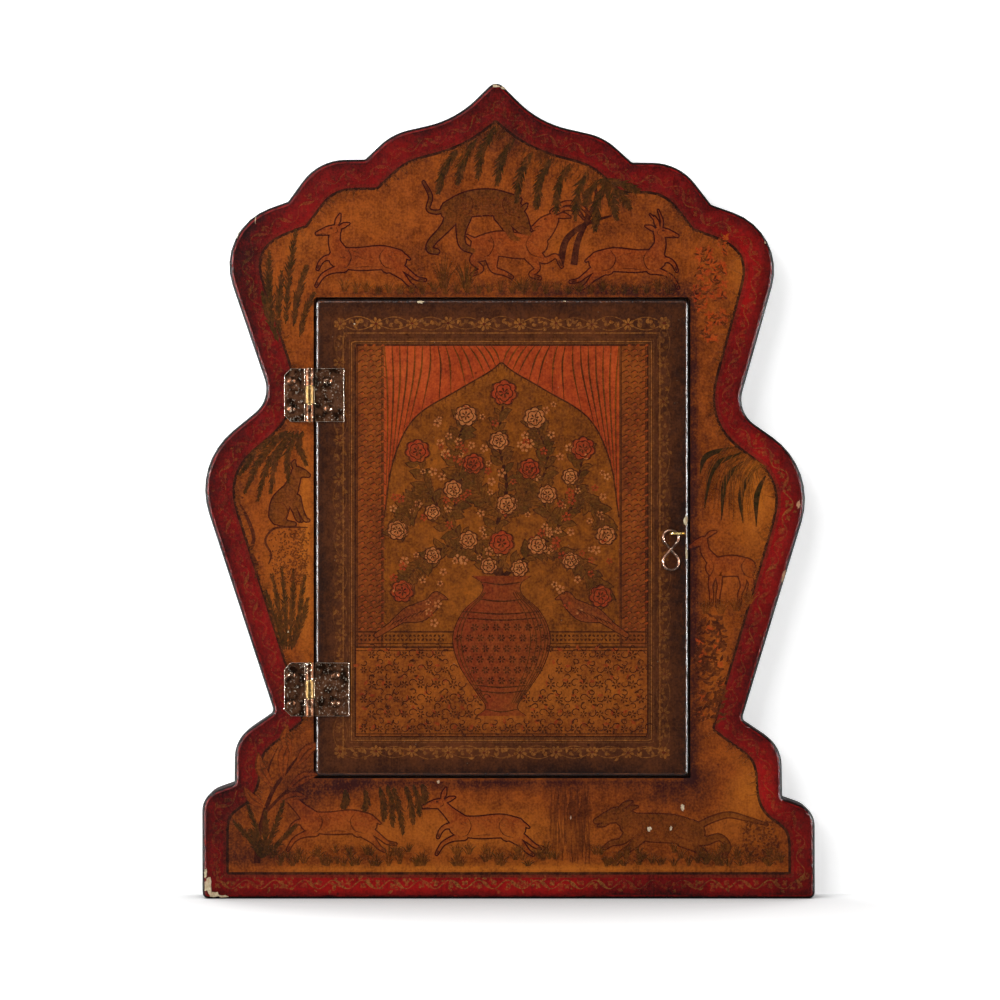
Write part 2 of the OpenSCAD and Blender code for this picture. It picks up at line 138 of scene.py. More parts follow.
def stage_sheet(name, corners, one_sided):
    """A white plane that keeps shadows, with its own white light that rises from the case to full far off."""
    mesh = bpy.data.meshes.new(name)
    mesh.from_pydata(corners, [], [(0, 1, 2, 3)])
    sheet = bpy.data.objects.new(name, mesh)
    scene.collection.objects.link(sheet)
    finish, tree = new_material(name)
    seen = background_rays(tree)
    white = srgb("#F2F2F2")
    spot = add(tree, "NewGeometry").outputs
    reach = add(tree, "VectorMath", {0: spot["Position"]}, operation="LENGTH").outputs["Value"]
    near_mark, far_mark = LIT_STAGE
    far = add(tree, "MapRange", {0: reach, 1: near_mark, 2: far_mark, 3: STAGE_LIFT, 4: 1.0}).outputs[0]
    glow = add(tree, "Math", {0: seen, 1: far}, operation="MULTIPLY").outputs[0]
    if not one_sided:
        near = add(tree, "AmbientOcclusion", {"Color": white, "Distance": CONTACT_REACH}).outputs
        white = near["Color"]
        glow = add(tree, "Math", {0: glow, 1: near["AO"]}, operation="MULTIPLY").outputs[0]
    paper = add(tree, "BsdfDiffuse", {"Color": white})
    light = add(tree, "Emission", {"Color": (1, 1, 1, 1), "Strength": glow})
    both = add(tree, "AddShader", {0: paper.outputs[0], 1: light.outputs[0]})
    if one_sided:
        front = add(tree, "Math", {0: seen, 1: spot["Backfacing"]}, operation="SUBTRACT", use_clamp=True)
        clear = add(tree, "BsdfTransparent")
        both = add(tree, "MixShader", {0: front.outputs[0], 1: clear.outputs[0], 2: both.outputs[0]})
    add(tree, "OutputMaterial", {"Surface": both.outputs[0]})
    mesh.materials.append(finish)
    sheet.visible_shadow = not one_sided


half = STAGE_SIZE / 2
sheet_y = SHEET_Y * MM
stage_sheet("floor", [(-half, -half, 0), (half, -half, 0), (half, half, 0), (-half, half, 0)], False)
upright = [(-half, sheet_y, 0), (half, sheet_y, 0), (half, sheet_y, half), (-half, sheet_y, half)]
stage_sheet("white_sheet", upright, True)
room = bpy.data.worlds.new("room")
room.use_nodes = True
tree = room.node_tree
tree.nodes.clear()
ambient = add(tree, "Math", {0: add(tree, "LightPath").outputs["Is Diffuse Ray"], 1: ROOM_LIGHT},
              operation="MULTIPLY")
total = add(tree, "Math", {0: background_rays(tree), 1: ambient.outputs[0]}, operation="MAXIMUM")
sky = add(tree, "Background", {"Color": (1, 1, 1, 1), "Strength": total.outputs[0]})
add(tree, "OutputWorld", {"Surface": sky.outputs[0]})
scene.world = room
print("stage ready")

# %% [markdown]
# ## Lamps
# Lacquer is photographed with one large soft light, here high on the left, so that the shadow falls softly
# to the right. Two narrow lamps at the sides only make glints on rounded edges: they are hidden from
# diffuse rays, so they don't light the paint. Two dim lamps behind keep the back readable.

# %% Soft lamps
LAMP_AIM = Vector((0, 0, 0.16))


def lamp(name, place, size, power, gloss_only=False):
    """A soft box of size (width, height) in metres that faces the case; gloss_only ones just make glints."""
    data = bpy.data.lights.new(name, "AREA")
    data.shape = "RECTANGLE"
    data.size, data.size_y = size
    data.energy = power
    made = bpy.data.objects.new(name, data)
    made.location = place
    made.rotation_euler = (LAMP_AIM - Vector(place)).to_track_quat("-Z", "Y").to_euler()
    made.visible_diffuse = not gloss_only
    scene.collection.objects.link(made)


lamp("key_upper_left", (-0.72, -1.1, 0.95), size=(1.1, 1.1), power=18.2)
lamp("glint_left", (-1.2, -0.7, 0.2), size=(0.2, 0.45), power=50, gloss_only=True)
lamp("glint_right", (1.2, -0.7, 0.2), size=(0.2, 0.45), power=50, gloss_only=True)
lamp("behind_left", (-0.9, 1.2, 0.9), size=(0.8, 0.8), power=10)
lamp("behind_right", (1.0, 1.2, 0.5), size=(0.8, 0.8), power=6)
print("five soft lamps")

# %% [markdown]
# ## The aged ground
# The front is wood under gesso, tempera and many coats of tinted varnish. Age gives such a ground clouds of
# lighter and darker brown about as wide as a finger, brush streaks half a millimetre apart, dark specks and
# a fine grain. One node group makes them, so paint and bare ground share the same clouds, and worn paint
# can fade into the ground below it. The mesh gives each point a tone: above 0 stained dark or darkened as a
# painted shadow, below 0 rubbed to a warm glow.

# %% Node group of the aged ground
CLOUD_MM = 15.0
MOTTLE_MM = 3.6
GRAIN_MM = 0.8
STREAK_MM = (7.0, 0.6)
SPECK_CELL_MM = 3.4
WEAR_MM = 2.4
SCUFF_AND_SPARKLE = "#A8886A"


def make_aged_ground():
    """Clouds, mottle, streaks, specks and stains over two ground colours."""
    tree = bpy.data.node_groups.new("aged_ground", "ShaderNodeTree")
    for name in ("Deep", "Bright", "Stain", "Glow"):
        tree.interface.new_socket(name, in_out="INPUT", socket_type="NodeSocketColor")
    for name, kind in (("Color", "Color"), ("Wear", "Float"), ("Relief", "Float")):
        tree.interface.new_socket(name, in_out="OUTPUT", socket_type="NodeSocket" + kind)
    given = add(tree, "NodeGroupInput").outputs
    place = add(tree, "TexCoord").outputs["Object"]
    # clouds, mottle, grain and brush streaks between the two ground colours
    cloud = add(tree, "TexNoise", {"Vector": place, "Scale": repeats(CLOUD_MM), "Detail": 5.0,
                                   "Roughness": 0.6})
    cloud = add(tree, "MapRange", {0: cloud.outputs[0], 1: 0.34, 2: 0.66})
    mottle = add(tree, "TexNoise", {"Vector": place, "Scale": repeats(MOTTLE_MM), "Detail": 3.0})
    mottle = add(tree, "MapRange", {0: mottle.outputs[0], 1: 0.36, 2: 0.64})
    grain = add(tree, "TexNoise", {"Vector": place, "Scale": repeats(GRAIN_MM), "Detail": 3.0,
                                   "Roughness": 0.6})
    long_mm, thin_mm = STREAK_MM
    along = add(tree, "Mapping", {"Vector": place, "Scale": (repeats(thin_mm), 0.0, repeats(long_mm))})
    along = add(tree, "TexNoise", {"Vector": along.outputs[0], "Scale": 1.0, "Detail": 2.0})
    fine = add(tree, "Mix", {0: 0.22, 2: grain.outputs[0], 3: along.outputs[0]})
    fine = add(tree, "MapRange", {0: fine.outputs[0], 1: 0.37, 2: 0.63})
    broad = add(tree, "Mix", {0: 0.42, 2: cloud.outputs[0], 3: mottle.outputs[0]})
    blend = add(tree, "Mix", {0: 0.46, 2: broad.outputs[0], 3: fine.outputs[0]})
    colour = add(tree, "Mix", {0: blend.outputs[0], 6: given["Deep"], 7: given["Bright"]}, data_type="RGBA")
    # dark specks in some cells, and in a few others pale scuffs that are partly dust and partly painted
    # sparkle
    cell = add(tree, "TexVoronoi", {"Vector": place, "Scale": repeats(SPECK_CELL_MM), "Randomness": 1.0})
    speck = add(tree, "MapRange", {0: cell.outputs["Distance"], 1: 0.08, 2: 0.2, 3: 1.0, 4: 0.0})
    lot = add(tree, "SeparateColor", {0: cell.outputs["Color"]})
    some = add(tree, "MapRange", {0: lot.outputs[0], 1: 0.7, 2: 0.95, 3: 0.0, 4: 0.8})
    speck = add(tree, "Math", {0: speck.outputs[0], 1: some.outputs[0]}, operation="MULTIPLY")
    colour = add(tree, "Mix", {0: speck.outputs[0], 6: colour.outputs[2], 7: given["Stain"]},
                 data_type="RGBA")
    scuff_and_sparkle_mask = add(tree, "MapRange", {0: cell.outputs["Distance"], 1: 0.03, 2: 0.1, 3: 1.0, 4: 0.0})
    few = add(tree, "MapRange", {0: lot.outputs[1], 1: 0.8, 2: 0.95, 3: 0.0, 4: 0.7})
    scuff_and_sparkle_mask = add(tree, "Math", {0: scuff_and_sparkle_mask.outputs[0], 1: few.outputs[0]}, operation="MULTIPLY")
    colour = add(tree, "Mix", {0: scuff_and_sparkle_mask.outputs[0], 6: colour.outputs[2], 7: srgb(SCUFF_AND_SPARKLE)},
                 data_type="RGBA")
    # stain, painted shadow and glow by the tone of the mesh, uneven as the clouds are
    tone = add(tree, "Attribute", attribute_name="tone").outputs["Fac"]
    patchy = add(tree, "MapRange", {0: blend.outputs[0], 1: 0.2, 2: 0.8, 3: 1.25, 4: 0.6})
    dark = add(tree, "Math", {0: tone, 1: patchy.outputs[0]}, operation="MULTIPLY", use_clamp=True)
    lit = add(tree, "MapRange", {0: blend.outputs[0], 1: 0.2, 2: 0.8, 3: -0.45, 4: -1.25})
    warm = add(tree, "Math", {0: tone, 1: lit.outputs[0]}, operation="MULTIPLY", use_clamp=True)
    colour = add(tree, "Mix", {0: dark.outputs[0], 6: colour.outputs[2], 7: given["Stain"]},
                 data_type="RGBA")
    colour = add(tree, "Mix", {0: warm.outputs[0], 6: colour.outputs[2], 7: given["Glow"]},
                 data_type="RGBA")
    # where paint on this ground has worn thin
    wear = add(tree, "TexNoise", {"Vector": place, "Scale": repeats(WEAR_MM), "Detail": 4.0,
                                  "Roughness": 0.65})
    wear = add(tree, "MapRange", {0: wear.outputs[0], 1: 0.4, 2: 0.66})
    add(tree, "NodeGroupOutput", {"Color": colour.outputs[2], "Wear": wear.outputs[0],
                                  "Relief": fine.outputs[0]})
    return tree


aged_ground = make_aged_ground()
print("aged ground has", len(aged_ground.nodes), "nodes")

# %% [markdown]
# ## Lacquer
# Tempera and ink under an oil-resin varnish: the varnish is smooth but not new, so it gives a broad soft
# shine and sharp glints only where an edge turns. One function makes each painted finish from its ground's
# four colours and, for brush marks, a pigment that thins out where the mark's load is low or the varnish
# has worn.

# %% Painted finishes
# third colour of each ground: its stains, and on the field the painted shadow round the door; fourth: its
# glow
FIELD = ("#441602", "#B05618", "#36120E", "#BE681C")
RED = ("#3E0605", "#941310", "#220706", "#B41612")
DOOR = ("#2A1002", "#683618", "#1E0D07", "#763E1A")
VARNISH_IOR = 1.5
VARNISH_SHINE = 0.07
PAINT_RELIEF_MM = 0.05


def lacquer(name, ground, pigment=None, cover=1.0, wear=0.5, rough=(0.3, 0.46)):
    """Varnished paint on an aged ground; pigment is its (deep, bright) colours."""
    finish, tree = new_material(name)
    colours = dict(zip(("Deep", "Bright", "Stain", "Glow"), map(srgb, ground)))
    base = add(tree, "Group", colours, node_tree=aged_ground).outputs
    colour = base["Color"]
    if pigment:
        load = add(tree, "Attribute", attribute_name="load").outputs["Fac"]
        lost = add(tree, "MapRange", {0: base["Wear"], 3: cover, 4: cover * (1 - wear)})
        amount = add(tree, "Math", {0: load, 1: lost.outputs[0]}, operation="MULTIPLY", use_clamp=True)
        deep, bright = map(srgb, pigment)
        paint = add(tree, "Mix", {0: base["Relief"], 6: deep, 7: bright}, data_type="RGBA")
        colour = add(tree, "Mix", {0: amount.outputs[0], 6: colour, 7: paint.outputs[2]}, data_type="RGBA")
        colour = colour.outputs[2]
    shine = add(tree, "MapRange", {0: base["Wear"], 3: rough[0], 4: rough[1]})
    bump = add(tree, "Bump", {"Strength": 0.3, "Distance": PAINT_RELIEF_MM * MM, "Height": base["Relief"]})
    varnish = add(tree, "BsdfPrincipled", {"Base Color": colour, "Roughness": shine.outputs[0],
                                           "IOR": VARNISH_IOR, "Specular IOR Level": VARNISH_SHINE,
                                           "Normal": bump.outputs[0]})
    add(tree, "OutputMaterial", {"Surface": varnish.outputs[0]})
    return finish


# %% [markdown]
# ## Reading the CAD outline
# The painter follows the edge of the board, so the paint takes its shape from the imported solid: the rims of
# its flat front face. An inset of the outer rim gives the line between the red border and the ochre field.
# It is wider at the crest, keeps the sharp cusps between the lobes and the square corners of the foot,
# turns round the plinth's inward corners in an arc and eases every other corner.


# %% Rims and insets
def rims(node, depth):
    """Closed rims of a node's flat face at that y, longest first, as (x, z) rows in mm."""
    mesh = nodes[node].data
    mesh.calc_loop_triangles()
    spots = [tuple(round(c / MM, 3) for c in v.co) for v in mesh.vertices]
    uses = {}
    for triangle in mesh.loop_triangles:
        corners = [spots[i] for i in triangle.vertices]
        if all(abs(c[1] - depth) < 0.01 for c in corners):
            for a, b in zip(corners, corners[1:] + corners[:1]):
                key = (min(a, b), max(a, b))
                uses[key] = uses.get(key, 0) + 1
    joined = {}
    for a, b in (key for key, count in uses.items() if count == 1):
        joined.setdefault(a, []).append(b)
        joined.setdefault(b, []).append(a)
    loops = []
    while joined:
        here = next(iter(joined))
        loop = []
        while here in joined:
            loop.append((here[0], here[2]))
            onward = [p for p in joined.pop(here) if p in joined]
            here = onward[0] if onward else None
        loops.append(np.array(loop))
    return sorted(loops, key=lambda p: -np.linalg.norm(p - np.roll(p, 1, 0), axis=1).sum())


def even(loop, step, closed=True):
    """The line resampled to about one point for each step, turning to the left if closed."""
    line = np.vstack([loop, loop[:1]]) if closed else np.array(loop, float)
    run = np.concatenate([[0], np.cumsum(np.linalg.norm(np.diff(line, axis=0), axis=1))])
    count = max(3, round(run[-1] / step))
    at = np.linspace(0, run[-1], count, endpoint=not closed)
    made = np.column_stack([np.interp(at, run, line[:, 0]), np.interp(at, run, line[:, 1])])
    x, z = made.T
    if closed and (x * np.roll(z, -1) - np.roll(x, -1) * z).sum() < 0:
        made = made[::-1]
    return made


def gap_to(points, loop):
    """Distance of each point to the nearest point of a dense loop."""
    return np.concatenate([np.linalg.norm(part[:, None] - loop[None], axis=2).min(1)
                           for part in np.array_split(points, max(1, len(points) // 400))])


def inside(points, loop):
    """Whether each point lies in the loop."""
    x, z = points[:, :1], points[:, 1:]
    ax, az = loop.T
    bx, bz = np.roll(loop, -1, 0).T
    rise = np.where(bz == az, 1e-9, bz - az)
    crossed = ((az > z) != (bz > z)) & (x < (bx - ax) * (z - az) / rise + ax)
    return crossed.sum(1) % 2 == 1


def headings(loop, reach):
    """Unit direction at each point of a closed loop, and the sine of the turn over twice the reach."""
    ahead = np.roll(loop, -1, 0) - np.roll(loop, 1, 0)
    ahead /= np.linalg.norm(ahead, axis=1)[:, None] + 1e-9
    before, after = np.roll(ahead, reach, 0), np.roll(ahead, -reach, 0)
    return ahead, before[:, 0] * after[:, 1] - before[:, 1] * after[:, 0]


CUSP_TURN = -0.35
SQUARE_TURN = 0.95
EASE_ROUNDS = 50
PLINTH_TOP = 60.0
CREST_FOOT = 235.0
CREST_SHARE = 1.2


def inset(loop, gap):
    """The loop moved inwards by gap, more at the crest; square corners and the crest's cusps stay sharp."""
    dense = even(loop, 0.5)
    count = len(dense)
    ahead, turn = headings(dense, 4)
    inward = np.column_stack([-ahead[:, 1], ahead[:, 0]])
    reach = gap * np.interp(dense[:, 1], (PLINTH_TOP, CREST_FOOT), (1, CREST_SHARE))
    moved = dense + inward * reach[:, None]
    sharp = []
    for i in range(count):
        near = [(i + k) % count for k in range(-8, 9)]  # near[8] is the corner itself
        if turn[i] < CUSP_TURN and turn[i] <= turn[near].min():
            a, b = near[3], near[13]
            if dense[i, 1] < PLINTH_TOP:
                fan = np.linspace(inward[a], inward[b], 9)
                moved[near[4:13]] = dense[i] + gap * fan / np.linalg.norm(fan, axis=1)[:, None]
                continue
            across = ahead[a, 0] * ahead[b, 1] - ahead[a, 1] * ahead[b, 0]
            step = moved[b] - moved[a]
            onward = (step[0] * ahead[b, 1] - step[1] * ahead[b, 0]) / across
            tip = moved[a] + ahead[a] * onward
            sharp.append(tip)
            moved[near[4:13]] = tip
    line = even(moved[gap_to(moved, dense) > reach - 0.06], 0.8)
    kept = headings(line, 3)[1] > SQUARE_TURN
    if sharp:
        kept |= gap_to(line, np.array(sharp)) < 0.5
    for i in range(EASE_ROUNDS):
        eased = (np.roll(line, 1, 0) + 2 * line + np.roll(line, -1, 0)) / 4
        line = np.where(kept[:, None], line, eased)
    return line


BORDER_WIDTH = 8.3
outline, opening = rims("face_board", FRONT)[:2]
outline = even(outline, 0.8)
opening = even(opening, 2.0)
field_edge = inset(outline, BORDER_WIDTH)
print("outline", len(outline), "points; field edge", len(field_edge), "points")

# %% [markdown]
# ## Tone of the ground
# A hand-held object darkens where varnish and dirt gather and glows where it is rubbed. The places are few
# and wide, so they are written as a list of soft spots: middle, half size and amount. Round the opening the
# ground is also darkened as a painted shadow of the door, with dirt in the gap, most at the right and below.

# %% Soft spots of stain and glow
STAINS = [
    (-94, 17, 12, 6, 0.8), (-77, 40, 9, 9, 0.85), (-66, 45, 15, 5, 0.7), (-77, 56, 6, 10, 0.55),
    (-20, 45.5, 45, 3, 0.6), (64, 41, 14, 7, 0.6), (81, 44, 6, 8, 0.4), (88, 50, 7, 3, 0.45),
    (66, 239, 22, 5, 0.6), (24, 240, 44, 4, 0.4), (-101, 255, 9, 30, 0.55), (-109, 27, 8, 26, 0.5),
    (46, 2.5, 10, 5, 0.5), (66, 2.5, 10, 5, 0.5), (110, 5, 8, 8, 0.2), (-82, 190, 10, 12, 0.35),
    (-86, 84, 8, 12, 0.35), (4, 300, 20, 9, 0.5), (27, 36, 8, 9, 0.3), (78, 100, 3, 60, 0.25),
    (-112, 150, 9, 50, 0.35), (0, 316, 16, 9, 0.35), (-58, 15, 30, 4, 0.25), (0, 15, 20, 4, 0.2),
    (72, 15, 36, 4, 0.25), (0, 230, 160, 90, 0.13), (112, 150, 12, 60, 0.12), (-100, 60, 16, 30, 0.2),
    (58, 268, 24, 12, 0.1), (-100, 215, 8, 14, 0.4),
]
GLOWS = [
    (83, 93, 6, 20, -0.35), (-86, 124, 9, 34, -0.4), (-86, 226, 9, 14, -0.25), (-52, 241, 20, 4, -0.3),
    (95, 240, 6, 20, -0.75), (-80, 258, 12, 12, -0.3), (-48, 268, 24, 12, -0.2),
    (99, 160, 9, 26, -0.75), (100, 44, 12, 12, -0.85), (0, 11.8, 104, 2.0, -1.2),
    (26, 258, 16, 7, -0.3), (-77, 140, 2.4, 44, -0.9), (-45, 4, 55, 5, -0.8), (-4, 26, 40, 9, -0.75),
    (110, 140, 9, 40, -0.4), (104, 262, 10, 14, -0.3), (20, 4, 30, 4, -0.5), (-60, 26, 20, 7, -0.3),
    (88, 27, 18, 9, -0.35), (90, 4, 16, 5, -0.5), (80, 240, 8, 14, -0.3),
]
LEFT, LOW = opening.min(0)
RIGHT, HIGH = opening.max(0)
# amount and reach in mm: painted shadow and dirt at three sides of the opening, dirt at the seam and rim
SHADOW_AND_DIRT_RIGHT, SHADOW_AND_DIRT_BELOW, SHADOW_AND_DIRT_ABOVE = (0.85, 3.2), (0.6, 4.0), (0.6, 2.2)
DIRT_SEAM, DIRT_RIM = (0.3, 2.0), (0.6, 1.6)
MARGIN = 3.0


def spots_at(points, spots):
    """Sum of soft spots at each point."""
    total = np.zeros(len(points))
    for x, z, wide, high, amount in spots:
        total += amount * np.exp(-((points[:, 0] - x) / wide) ** 2 - ((points[:, 1] - z) / high) ** 2)
    return total


def case_tone(points):
    """Stain and painted shadow above 0 and glow below 0 on the front of the case."""
    x, z = points.T
    beside = (z > LOW - MARGIN) & (z < HIGH + MARGIN)
    level = (x > LEFT - MARGIN) & (x < RIGHT + MARGIN)
    # painted shadow of the door round the opening, with dirt in the gap: darkest at the right and below
    amount, reach = SHADOW_AND_DIRT_RIGHT
    shade_and_grime = amount * np.exp(-((x - RIGHT) / reach) ** 4) * beside
    for (amount, reach), depth in ((SHADOW_AND_DIRT_BELOW, LOW - z), (SHADOW_AND_DIRT_ABOVE, z - HIGH)):
        shade_and_grime += amount * np.exp(-(depth / reach) ** 2) * level * (depth > 0)
    within = inside(points, field_edge)
    for part, line, (amount, reach) in ((within, field_edge, DIRT_SEAM), (~within, outline, DIRT_RIM)):
        if part.any():
            shade_and_grime[part] += amount * np.exp(-gap_to(points[part], line) / reach)
    return np.clip(spots_at(points, STAINS + GLOWS) + shade_and_grime, -1, 1)


print("tone at the lower left plant", case_tone(np.array([[-94.0, 17.0]])).round(2))

# %% [markdown]
# ## Coats of paint
# Each coat is a thin film that lies on the wood: it starts just inside the solid and stands a few
# hundredths of a millimetre proud, later coats above earlier ones. Broad coats are triangulated sheets with
# points every 2 mm to carry the tone. Brush marks are strips whose width swells and thins along a curve, as
# a loaded brush makes them. Marks of one film each have their own small lift, so that two that cross never
# lie in the same plane.

# %% A film of brush marks
GROUND_HEIGHT = 0.03
COAT = 0.02
FILM_ROOT = 0.02
MARK_LIFT = 0.014
MARK_SLOPE = 0.002
GOLDEN = 0.618034
BAKE_MAP = "OFBake"


class Film:
    """Marks of one paint, as points in mm, faces and paint load, before they become a mesh."""

    def __init__(self, name, coat):
        self.name, self.height = name, GROUND_HEIGHT + coat * COAT
        self.points, self.faces, self.load, self.rise = [], [], [], []
        self.marks = 0

    def take(self, points, faces, load, rise=0.0):
        """Adds a patch of points and faces; rise lifts its points."""
        start = len(self.points)
        self.points += [tuple(p) for p in points]
        self.faces += [tuple(int(i) + start for i in face) for face in faces]
        self.load += list(load)
        self.rise += list(np.broadcast_to(rise, len(points)))
        self.marks += 1


def smooth(points, steps):
    """A curve through the points; every column, width too, is carried along."""
    p = np.array(points, float)
    p = np.vstack([2 * p[0] - p[1], p, 2 * p[-1] - p[-2]])
    t = np.linspace(0, len(points) - 1, steps)
    i = np.minimum(t.astype(int), len(points) - 2)
    f = (t - i)[:, None]
    a, b, c, d = p[i], p[i + 1], p[i + 2], p[i + 3]
    bend = (2 * a - 5 * b + 4 * c - d) * f ** 2 + (3 * b - a - 3 * c + d) * f ** 3
    return 0.5 * (2 * b + (c - a) * f + bend)


CAP_TURNS = np.radians([78, 52, 26])


def brush(film, points, load=1.0, steps=0, swell=0.0, rounded=False):
    """One mark along (x, z, width) points; load may be (left, right), swell widens it by a rim."""
    line = smooth(points, steps or 4 * len(points))
    at, wide = line[:, :2], np.maximum(line[:, 2], 0.04) / 2 + swell
    ahead = np.gradient(at, axis=0)
    ahead /= np.linalg.norm(ahead, axis=1)[:, None] + 1e-9
    if rounded:
        back, on = np.sin(CAP_TURNS)[:, None], np.sin(CAP_TURNS[::-1])[:, None]
        at = np.vstack([at[0] - ahead[0] * wide[0] * back, at, at[-1] + ahead[-1] * wide[-1] * on])
        wide = np.concatenate([wide[0] * np.cos(CAP_TURNS), wide, wide[-1] * np.cos(CAP_TURNS[::-1])])
        ahead = np.vstack([ahead[[0] * 3], ahead, ahead[[-1] * 3]])
    side = np.column_stack([-ahead[:, 1], ahead[:, 0]]) * wide[:, None]
    count = len(at)
    faces = [(i, i + count, i + count + 1, i + 1) for i in range(count - 1)]
    left, right = load if isinstance(load, tuple) else (load, load)
    rise = np.tile(np.linspace(0, MARK_SLOPE, count), 2) + film.marks * GOLDEN % 1 * MARK_LIFT
    film.take(np.vstack([at + side, at - side]), faces, [left] * count + [right] * count, rise)


def sheet(film, loops, spacing=2.0, load=1.0):
    """Fills the first loop, less the others, with triangles no longer than about the spacing."""
    outer = loops[0]
    x = np.arange(outer[:, 0].min(), outer[:, 0].max(), spacing)
    z = np.arange(outer[:, 1].min(), outer[:, 1].max(), spacing)
    grid = np.array(np.meshgrid(x, z)).reshape(2, -1).T

    def covered(points):
        hit = inside(points, outer)
        for hole in loops[1:]:
            hit &= ~inside(points, hole)
        return hit

    grid = grid[covered(grid)]
    grid = grid[gap_to(grid, np.vstack(loops)) > 0.45 * spacing] if len(grid) else grid
    edges, start = [], 0
    for loop in loops:
        edges += [(start + i, start + (i + 1) % len(loop)) for i in range(len(loop))]
        start += len(loop)
    spots = [Vector(p) for p in np.vstack([*loops, grid])]
    verts, _, faces = geometry.delaunay_2d_cdt(spots, edges, [], 1, 1e-6)[:3]
    verts = np.array(verts)
    faces = np.array(faces)
    film.take(verts, faces[covered(verts[faces].mean(1))], [load] * len(verts))


def dry(film, body, finish, tone=None, depth=FRONT, facing=-1, wrap=None):
    """Makes the film a thin closed piece that rides on its body; wrap lays it over a node's rounded edge."""
    flat = np.array(film.points)
    lift = film.height + np.array(film.rise)
    spots = [Vector((x * MM, (depth + facing * up) * MM, z * MM)) for (x, z), up in zip(flat, lift)]
    if wrap:
        shape = nodes[wrap].data
        tree = BVHTree.FromPolygons([v.co for v in shape.vertices], [p.vertices for p in shape.polygons])
        hits = [tree.find_nearest(s) for s in spots]
        spots = [hit + normal * up * MM for (hit, normal, _, _), up in zip(hits, lift)]
    faces = film.faces if facing < 0 else [f[::-1] for f in film.faces]
    mesh = bpy.data.meshes.new(film.name)
    mesh.from_pydata(spots, [], faces)
    mesh.materials.append(finish)
    values = {"load": film.load, "tone": tone(flat) if tone else np.zeros(len(flat))}
    for name, value in values.items():
        mesh.attributes.new(name, "FLOAT", "POINT").data.foreach_set("value", np.array(value, np.float32))
    span = np.ptp(flat, axis=0).max()
    corner = flat.min(0)
    flat_map = mesh.uv_layers.new(name=BAKE_MAP)
    for loop in mesh.loops:
        flat_map.data[loop.index].uv = (flat[loop.vertex_index] - corner) / span
    piece = bpy.data.objects.new(film.name, mesh)
    scene.collection.objects.link(piece)
    body_of_paint = piece.modifiers.new("body_of_paint", "SOLIDIFY")
    body_of_paint.thickness = (film.height + FILM_ROOT) * MM
    body_of_paint.offset = -1
    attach(piece, body)
    print("painted", film.name, len(faces), "faces")


# %% [markdown]
# ## Ochre field and red border
# The field is an ochre-brown ground and the border a madder red, both under the same varnish. They meet
# along the inset line, ruled over with a dark line.


# %% Lay the two grounds
def dry_on_case(film, finish):
    """Dries a film on the front of the case."""
    dry(film, "case", finish, case_tone)


field = Film("painted_field", 0)
sheet(field, [field_edge, opening])
dry_on_case(field, lacquer("ochre_field_lacquer", FIELD))
border = Film("red_border", 0)
sheet(border, [outline, field_edge])
dry_on_case(border, lacquer("madder_red_lacquer", RED))


def ruled(film, loop, width, load=1.0):
    """A closed line of even width."""
    closed = np.vstack([loop, loop[:2]])
    brush(film, [(x, z, width) for x, z in closed], load, steps=len(closed))


INK = ("#140704", "#2C120A")
BORDER_LINE = 1.1
border_line = Film("border_line", 1)
ruled(border_line, inset(outline, BORDER_WIDTH + 0.1), width=BORDER_LINE)
dry_on_case(border_line, lacquer("ink_on_field", FIELD, INK, cover=0.97, wear=0.25))

# %% [markdown]
# ## Gold scroll
# A vine in thinned gold paint runs round the red border: heavy falling strokes, light rising ones and a bud
# in each bend, with a dull olive line inside it. It is mostly rubbed away, so its load changes along the
# border.


# %% Rails and leaves
class Rail:
    """A line that marks can follow: at(run, off) is the point that far along and off to its left."""

    def __init__(self, points):
        self.points = np.array(points, float)
        step = np.linalg.norm(np.diff(self.points, axis=0), axis=1)
        self.run = np.concatenate([[0], np.cumsum(step)])
        self.length = self.run[-1]
        ahead = np.gradient(self.points, axis=0)
        self.ahead = ahead / (np.linalg.norm(ahead, axis=1)[:, None] + 1e-9)

    def at(self, run, off=0.0):
        x, z, dx, dz = [np.interp(run, self.run, row) for row in (*self.points.T, *self.ahead.T)]
        return np.array([x - dz * off, z + dx * off])


def leaf(film, x, z, angle, length, width, load=1.0, bend=0.15):
    """A lens-shaped leaf that grows from (x, z) along angle."""
    c, s = math.cos(angle), math.sin(angle)
    shape = [(0, 0, 0.1), (0.3, bend * 0.6, 0.9), (0.62, bend, 1.0), (1, bend * 0.5, 0.06)]
    placed = [(x + length * (c * a - s * b), z + length * (s * a + c * b), width * w) for a, b, w in shape]
    brush(film, placed, load, steps=7)


